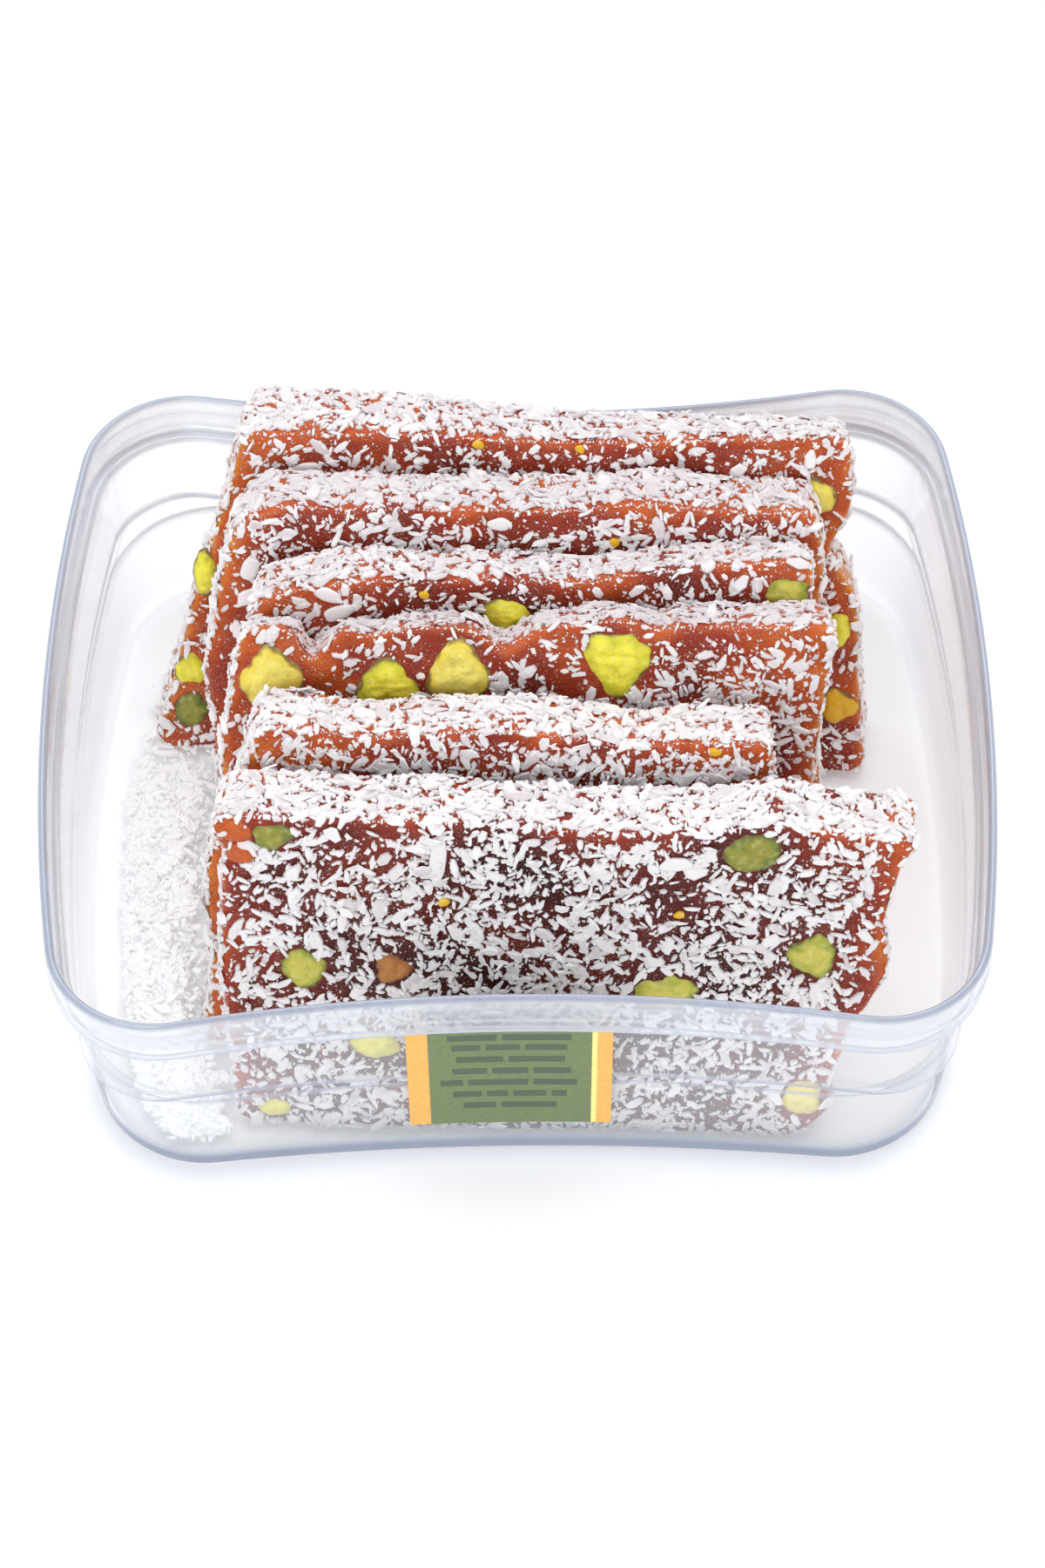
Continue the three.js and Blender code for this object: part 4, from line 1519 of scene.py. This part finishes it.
    def edge_crumbs(self, draw: np.random.Generator) -> Surface:
        """The fine crumbs that line the top's front edge.

        Args:
            draw: The seeded numbers.

        Returns:
            The crumbs.
        """
        length, height, _ = self.block
        count = int(length * self.coat.edge_line)
        block = np.stack([
            draw.uniform(0.01, 0.99, count) * length, np.full(count, height),
            self.thick - np.abs(draw.normal(0, 0.5, count))], 1)
        _, places, outward = self.at(block, Side.TOP)
        out = self.world(np.array([[0.0, 0.0, 1.0]])) - self.world(np.zeros((1, 3)))
        return flake_surface(Cut.CRUMB, places, unit(outward + out), draw, 0.05)

    def placed(self, surface: Surface) -> Surface:
        """The surface moved from the slab's own frame into the part's."""
        return Surface(self.world(surface.points), surface.faces, surface.values)

    def build(self, finishes: dict[str, Material]) -> None:
        """Makes the slab's gel, its coconut, its nut pieces and its blobs.

        Args:
            finishes: The materials by key.
        """
        make_piece(f"{self.name}_gel", self.body(), [finishes["gel"]], stands_for=(self.name,))
        for cut, surface in self.coating().items():
            name = f"{self.name}_coconut_{cut.name.lower()}s"
            make_piece(name, surface, [finishes["coconut"]], smooth=False)
        for number, nut in enumerate(self.nuts, start=1 + 10 * self.seed):
            slot = "nut" if nut.node == "nut_bit" else "pistachio"
            surface = self.placed(nut.surface(number, self.thick))
            make_piece(f"{nut.node}_cut", surface, [finishes[slot]], stands_for=(nut.node,))
        for stuff in Stuff:
            parts = [self.placed(blob.surface(number, self.thick))
                     for number, blob in enumerate(self.blobs) if blob.stuff is stuff]
            if parts:
                slot = stuff.value[0]
                name = f"{self.name}_{stuff.name.lower()}_blobs"
                make_piece(name, joined(parts), [finishes[slot]])


def slabs() -> list[Slab]:
    """The six slabs as they stand, from front to back.

    Returns:
        The slabs.
    """
    return [
        Slab(
            "slab_1", y=-56.4, yaw=-2.1, lean=20, thick=12.8, slant=(0, 0), corners=(3, 6, 2.6, 2.8),
            left=(-48.4, -48.4), right=(49.5, 62.2), top=(65.8, 63.9), seed=1, light=0.12, end_light=0.65,
            coat=Coat(front=0.99, top=1.5, right=0.5, hidden_below=0.0, specks=0.6, bare_edge=2.2,
                      set_back=0.5, top_shade_tone=0.95),
            left_waves=((34, 1.6, 16), (63, 1.4, 2.4)),
            right_waves=((7, 1.6, 5), (35, 3.2, 9), (62, 1.8, 2.6)),
            top_waves=((12, -1, 9), (41, 2.4, 7)),
            nuts=(
                Nut("pistachio_1_1", (37.1, 60.6), (9.2, 8.4), 2, 20, Flesh.OLIVE, 0.3),
                Nut("pistachio_1_2", (-36.3, 34.9), (7.8, 8.8), 4, 10, Flesh.LEAF),
                Nut("pistachio_1_3", (48.0, 39.6), (8.0, 8.8), 3, 60, Flesh.LEAF, 0.2),
                Nut("pistachio_1_4", (23.6, 31.4), (10.8, 8.0), 2, 0, Flesh.LEAF),
                Nut("pistachio_1_5", (-40.8, 62.0), (7.2, 5.6), 3, 20, Flesh.OLIVE),
                Nut("pistachio_1_6", (-24.5, 18.5), (8.6, 6.6), 2, 0, Flesh.LIME),
                Nut("pistachio_1_7", (47.6, 9.0), (7.2, 8.6), 4, 40, Flesh.GOLD),
                Nut("pistachio_1_8", (-42.0, 4.0), (5.6, 4.4), 2, 0, Flesh.LIME),
                Nut("nut_bit", (-21.4, 34.9), (6.4, 6.0), 3, 0, Flesh.BROWN)),
            blobs=(
                Blob(Stuff.COCONUT, -13.7, 58.3, 9.5, 3.1, 84),
                Blob(Stuff.COCONUT, 24.8, 58.0, 5.2, 2.8, 12),
                Blob(Stuff.GEL, -46.2, 63.0, 5.4, 4.2, 20, 0.8),
                Blob(Stuff.GEL, -45.8, 58.6, 4.4, 4.0, 70, 0.7),
                Blob(Stuff.PISTACHIO, -12.8, 49.3, 1.9, 1.6),
                Blob(Stuff.PISTACHIO, 25.7, 47.7, 1.8, 1.4))),
        Slab(
            "slab_2", y=-40.9, yaw=-1.5, lean=22.5, thick=11.8, slant=(0, 0), corners=(3, 3, 2.6, 3),
            left=(-55, -43), right=(44, 41.2), top=(66.6, 63.8), seed=2, light=0.4, end_light=0.75,
            coat=Coat(front=0.96, top=1.3, hidden_below=50.0, specks=0.7, set_back=1.2, top_shade_tone=0.85),
            left_waves=((38, 4.1, 17),),
            top_waves=((-25, -1.6, 8), (-1, 0.8, 5), (19, -1.4, 6)),
            blobs=(Blob(Stuff.PISTACHIO, 31.8, 62.6, 2.0, 1.7),)),
        Slab(
            "slab_3", y=-25.6, yaw=-0.5, lean=25, thick=11.6, slant=(4.5, 1.5), corners=(3, 3, 2.6, 2.8),
            left=(-53, -45.4), right=(47, 52.8), top=(69.7, 69.8), seed=3, light=0.55,
            coat=Coat(front=0.78, top=0.95, specks=1.1, edge_line=2.5,
                      bare=((-30, 0.5, 15), (0, 0.5, 13)), set_back=2.6, top_shade_tone=0.42),
            left_waves=((48, 2.2, 14),),
            top_waves=((-33.2, -6, 3), (-24, -1.4, 3), (-1.6, -4.2, 4.0), (15, 1.2, 5), (23.7, -0.9, 2.5)),
            nuts=(
                Nut("pistachio_3_1", (-41.4, 59.6), (10.6, 12.6), 4, 0, Flesh.GOLD, 0.2),
                Nut("pistachio_3_2", (-21.8, 58.2), (10.4, 10.6), 3, 90, Flesh.LIME, 0.3),
                Nut("pistachio_3_3", (-10.0, 61.0), (10.4, 11.8), 3, 90, Flesh.GOLD, 0.3),
                Nut("pistachio_3_4", (16.5, 63.0), (11.2, 12.4), 3, 270, Flesh.LIME, 0.5)),
            blobs=(Blob(Stuff.PISTACHIO, 7.1, 55.1, 2.0, 1.6),)),
        Slab(
            "slab_4", y=-10.4, yaw=-0.5, lean=25, thick=11.6, slant=(-1, 2.5), corners=(3, 3, 2.6, 2.8),
            left=(-50, -44.8), right=(48, 50), top=(62.6, 68.4), seed=4,
            coat=Coat(front=0.56, top=1.1, left=0.9, bare_edge=2.4),
            top_waves=((-45, -2.4, 5), (-26, 1, 7), (12, -1.7, 12)),
            nuts=(
                Nut("pistachio_4_1", (-1.7, 57.8), (8.4, 8.0), 3, 30, Flesh.LIME),
                Nut("pistachio_4_2", (45.6, 62.4), (8.4, 6.2), 4, 45, Flesh.LEAF)),
            blobs=(
                Blob(Stuff.COCONUT, -30.2, 58.8, 5.4, 3.0, 20),
                Blob(Stuff.COCONUT, -32.0, 62.1, 4.6, 2.6, -15),
                Blob(Stuff.PISTACHIO, -15.7, 62.1, 1.9, 1.5))),
        Slab(
            "slab_5", y=4.8, yaw=-2, lean=25, thick=11.6, slant=(-1.4, -1.2), corners=(3, 3, 4, 8),
            left=(-54.2, -48.6), right=(54, 50.6), top=(64.2, 64.8), seed=5,
            coat=Coat(front=0.74, top=1.2, left=0.9, bare_edge=1.0, top_shade_tone=0.42),
            left_waves=((36, 3.6, 19),), right_waves=((55, 1.2, 7),), top_waves=((23, 1.5, 9),),
            blobs=(
                Blob(Stuff.COCONUT, -46.7, 52.7, 5.0, 3.4, 70),
                Blob(Stuff.COCONUT, -47.3, 46.9, 4.4, 3.0, 40),
                Blob(Stuff.COCONUT, -3.6, 62.0, 4.2, 2.4, 10),
                Blob(Stuff.PISTACHIO, 16.3, 58.9, 2.0, 1.6))),
        Slab(
            "slab_6", y=20.2, yaw=-3.5, lean=25, thick=12.6, slant=(-4.5, 3), corners=(2.7, 3, 2.8, 2.8),
            left=(-66.4, -48.9), right=(63.2, 56.5), top=(63.8, 67.6), seed=6, light=0.42, end_light=0.6,
            coat=Coat(front=0.52, top=1.1, left=0.7, back=0.2, hidden_below=44.0, specks=0.75,
                      bare_edge=1.6),
            left_waves=((30, 0.6, 10),), right_waves=((45, -4.4, 6),), top_waves=((12, -1.4, 22),),
            nuts=(
                Nut("pistachio_6_1", (51.4, 55.6), (6.6, 8.0), 3, 0, Flesh.GOLD),
                Nut("pistachio_6_2", (-56.4, 36.0), (4.6, 8.6), 2, 90, Flesh.LIME),
                Nut("pistachio_6_3", (-59.5, 16.4), (6.0, 6.6), 3, 90, Flesh.LIME),
                Nut("pistachio_6_4", (-59.7, 7.8), (6.4, 7.0), 2, 60, Flesh.OLIVE),
                Nut("pistachio_6_5", (57.0, 29.8), (4.6, 8.0), 2, 90, Flesh.LIME),
                Nut("pistachio_6_6", (57.8, 14.0), (6.6, 7.0), 3, 0, Flesh.YELLOW)),
            blobs=(
                Blob(Stuff.COCONUT, -38.6, 57.3, 5.0, 3.0, 25),
                Blob(Stuff.PISTACHIO, -7.9, 63.6, 2.0, 1.6),
                Blob(Stuff.PISTACHIO, 9.9, 63.5, 1.9, 1.5))),
    ]


# ---- loose coconut ----


@dataclass
class LooseCoconut:
    """The coconut that has fallen on the tub's floor, beside the slabs' left ends.

    It lies from front to back between the flat of the tub's floor, less wall_gap, and the slabs: up to
    front_edge before the front slab, which it passes at turn_at over the length turn_over, and up to
    slab_edge beside the slabs. deep and shallow are its heights at the slabs and at the tub's side.
    """

    flat: Outline = Outline(64.94, 59.34, 13.64, 7.0, 0.0)
    front: float = -57.0
    back: float = 19.0
    slab_edge: float = -57.6
    front_edge: float = -51.6
    turn_at: float = -43.0
    turn_over: float = 6.0
    deep: float = 3.4
    shallow: float = 0.9
    wall_gap: float = 1.4
    floor: float = 1.5
    cells: tuple[int, int] = (26, 104)
    heaped: tuple[tuple[Cut, int], ...] = ((Cut.CHIP, 1000), (Cut.SHRED, 500), (Cut.BIT, 900))
    strays: int = 700
    strays_across: Pair = (-73.0, -49.0)
    strays_along: Pair = (-57.0, 44.0)
    drift: float = 1.3
    heap_tilt: float = 0.35
    stray_tilt: float = 0.3

    def place(self, u: Array, w: Array) -> tuple[Array, Array]:
        """Places on the floor: straight lines from the tub's side to an edge that turns by a sigmoid.

        Args:
            u: Shares from the tub's side to the slabs.
            w: Shares from front to back.

        Returns:
            x and y of each.
        """
        y = lerp(self.front, self.back, w)
        turned = 1 / (1 + np.exp((y - self.turn_at) / self.turn_over * 4))
        inner = lerp(self.slab_edge, self.front_edge, turned)
        outer = np.minimum(-(self.flat.reach(y) - self.wall_gap), inner - 2)
        return lerp(outer, inner, u), y

    def height(self, u: Array, w: Array) -> Array:
        """The heap's height: a slope towards the slabs with uneven lumps by two sines, low at its ends.

        Args:
            u: Shares from the tub's side to the slabs.
            w: Shares from front to back.

        Returns:
            The height at each.
        """
        slope = lerp(self.shallow, self.deep, np.sin(u * math.pi / 2))
        ends = np.minimum(np.minimum(6 * w, 6 * (1 - w)), np.minimum(2.5 * (1 - u) + 0.3, 1))
        lumps = 1 + 0.24 * np.sin(11 * u + 17 * w) + 0.2 * np.sin(7 * u - 31 * w + 1)
        return 0.3 + slope * ends * lumps

    def core(self) -> Surface:
        """The heap under the flakes: a plate whose upper side follows the height.

        Returns:
            The closed plate.
        """
        nodes, faces = lattice((*self.cells, 1))
        u, w = nodes[:, 0] / self.cells[0], nodes[:, 1] / self.cells[1]
        x, y = self.place(u, w)
        crumbs = 0.12 * ripple(np.stack([x, y, 0 * x], 1), 1.8, 5) * (w > 0.03) * (w < 0.97)
        z = self.floor + nodes[:, 2] * (0.82 * self.height(u, w) + crumbs)
        tone = np.full(len(nodes), 0.5)
        return Surface(np.stack([x, y, np.maximum(z, self.floor)], 1), faces, {"tone": tone})

    def heap_places(self, count: int, draw: np.random.Generator) -> Array:
        """Places on the heap, each drifted a little by chance but not into the tub's side.

        Args:
            count: How many.
            draw: The seeded numbers.

        Returns:
            The places.
        """
        u, w = draw.uniform(0.02, 0.98, count), draw.uniform(0.01, 0.99, count)
        x, y = self.place(u, w)
        x = np.maximum(x + draw.normal(0, self.drift, count), 1.6 - self.flat.reach(y))
        y = y + draw.normal(0, self.drift, count)
        return np.stack([x, y, self.floor + 0.85 * self.height(u, w)], 1)

    def stray_places(self, draw: np.random.Generator) -> Array:
        """Places on the bare floor round the heap, fewer towards the back.

        Args:
            draw: The seeded numbers.

        Returns:
            The places inside the tub and clear of the slabs.
        """
        x, y = draw.uniform(*self.strays_across, self.strays), draw.uniform(*self.strays_along, self.strays)
        inside = np.abs(x) < self.flat.reach(y) - 1.5
        inside &= (x < self.slab_edge + 4) | ((y < self.turn_at - 1) & (x < self.front_edge + 1))
        inside &= draw.uniform(size=self.strays) < np.clip((44 - y) / 44, 0.1, 1)
        return np.stack([x, y, np.full(self.strays, self.floor + 0.1)], 1)[inside]

    def flakes(self) -> Surface:
        """The flakes over the heap, and strays on the bare floor round it.

        Returns:
            All the loose flakes.
        """
        draw = np.random.default_rng(909)
        parts = []
        for cut, count in self.heaped:
            for places, tilt in ((self.heap_places(count, draw), self.heap_tilt), (None, self.stray_tilt)):
                places = self.stray_places(draw) if places is None else places
                up = np.tile((0.0, 0.0, 1.0), (len(places), 1))
                parts.append(flake_surface(cut, places, up, draw, 0.0, tilt))
        return joined(parts)

    def build(self, coconut: Material) -> None:
        """Makes the heap's core and its flakes."""
        make_piece("loose_coconut_core", self.core(), [coconut], stands_for=("loose_coconut",))
        make_piece("loose_coconut_flakes", self.flakes(), [coconut], smooth=False)


# ---- studio ----


@dataclass
class Studio:
    """The pale floor, the soft light and the camera, in metres and degrees."""

    camera_at: Place = (0.0002, -0.3496, 0.5468)
    pitch: float = 56.24
    yaw: float = -0.002
    roll: float = -0.008
    focal_pixels: float = 4129.0
    frame_height: float = 1800.0
    film: float = 36.0
    floor_half: float = 4.0
    floor_drop: float = 0.0002
    floor_glow: float = 0.21
    lit_at: Place = (0.0, 0.0, 0.03)
    lamps: tuple[tuple[str, Place, float, float], ...] = (
        ("overhead_softbox", (0.1, 0.45, 1.3), 1.3, 9.0), ("front_fill", (-0.5, -1.3, 0.8), 0.9, 5.6))
    sky: float = 0.74

    def camera(self) -> None:
        """The camera at the photograph's viewing angle."""
        data = bpy.data.cameras.new("camera")
        data.sensor_width = self.film
        data.lens = self.focal_pixels / self.frame_height * self.film
        data.clip_start, data.clip_end = 0.01, 50
        camera = bpy.data.objects.new("camera", data)
        camera.location = self.camera_at
        aim = Euler((math.radians(90 - self.pitch), 0, self.yaw)).to_matrix()
        camera.rotation_euler = (aim @ Euler((0, 0, self.roll)).to_matrix()).to_euler()
        bpy.context.scene.collection.objects.link(camera)
        bpy.context.scene.camera = camera

    def floor(self) -> None:
        """A plain pale floor."""
        half = self.floor_half
        mesh = bpy.data.meshes.new("studio_floor")
        mesh.from_pydata([(-half, -half, 0), (half, -half, 0), (half, half, 0), (-half, half, 0)], [],
                         [(0, 1, 2, 3)])
        graph = Graph("studio_floor")
        graph.set(Base_Color=(0.93, 0.93, 0.935, 1), Roughness=0.9, Specular_IOR_Level=0.1,
                  Emission_Color=(1, 1, 1, 1), Emission_Strength=self.floor_glow)
        mesh.materials.append(graph.material)
        floor = bpy.data.objects.new("studio_floor", mesh)
        floor.location.z = -self.floor_drop
        bpy.context.scene.collection.objects.link(floor)

    def lamp(self, name: str, at: Place, size: float, power: float) -> None:
        """A square soft light that points at the tub.

        Args:
            name: Its name.
            at: Where it hangs.
            size: The length of its side.
            power: Its power in watts.
        """
        data = bpy.data.lights.new(name, "AREA")
        data.size, data.energy = size, power
        lamp = bpy.data.objects.new(name, data)
        lamp.location = at
        lamp.rotation_euler = (Vector(self.lit_at) - Vector(at)).to_track_quat("-Z", "Y").to_euler()
        bpy.context.scene.collection.objects.link(lamp)

    def build(self) -> None:
        """Makes the camera, floor, lights and sky."""
        self.camera()
        self.floor()
        for name, at, size, power in self.lamps:
            self.lamp(name, at, size, power)
        world = bpy.data.worlds.new("sky")
        world.use_nodes = True
        background = world.node_tree.nodes["Background"]
        background.inputs["Color"].default_value = (0.94, 0.96, 1.0, 1)
        background.inputs["Strength"].default_value = self.sky
        bpy.context.scene.world = world
        bpy.context.scene.view_settings.view_transform = "Standard"


def main() -> None:
    """Builds the studio, the tub, its label and everything in it."""
    logging.basicConfig(level=logging.INFO, format="%(name)s %(message)s")
    Studio().build()
    tub = Tub()
    tub.build(ClearPlasticFinish().make())
    Label(tub).build()
    finishes = {
        "gel": GelFinish().make(),
        "coconut": CoconutFinish().make(),
        "pistachio": KernelFinish().make(),
        "nut": KernelFinish("brown_nut_flesh", (0.62, 0.40, 0.22)).make(),
    }
    for slab in slabs():
        slab.build(finishes)
    # The loose heap is paler and has a faint painted glow from emission.
    loose = CoconutFinish("loose_coconut", (0.95, 0.955, 0.965), (1.0, 1.0, 1.0), 0.06)
    LooseCoconut().build(loose.make())


if __name__ == "__main__":
    main()
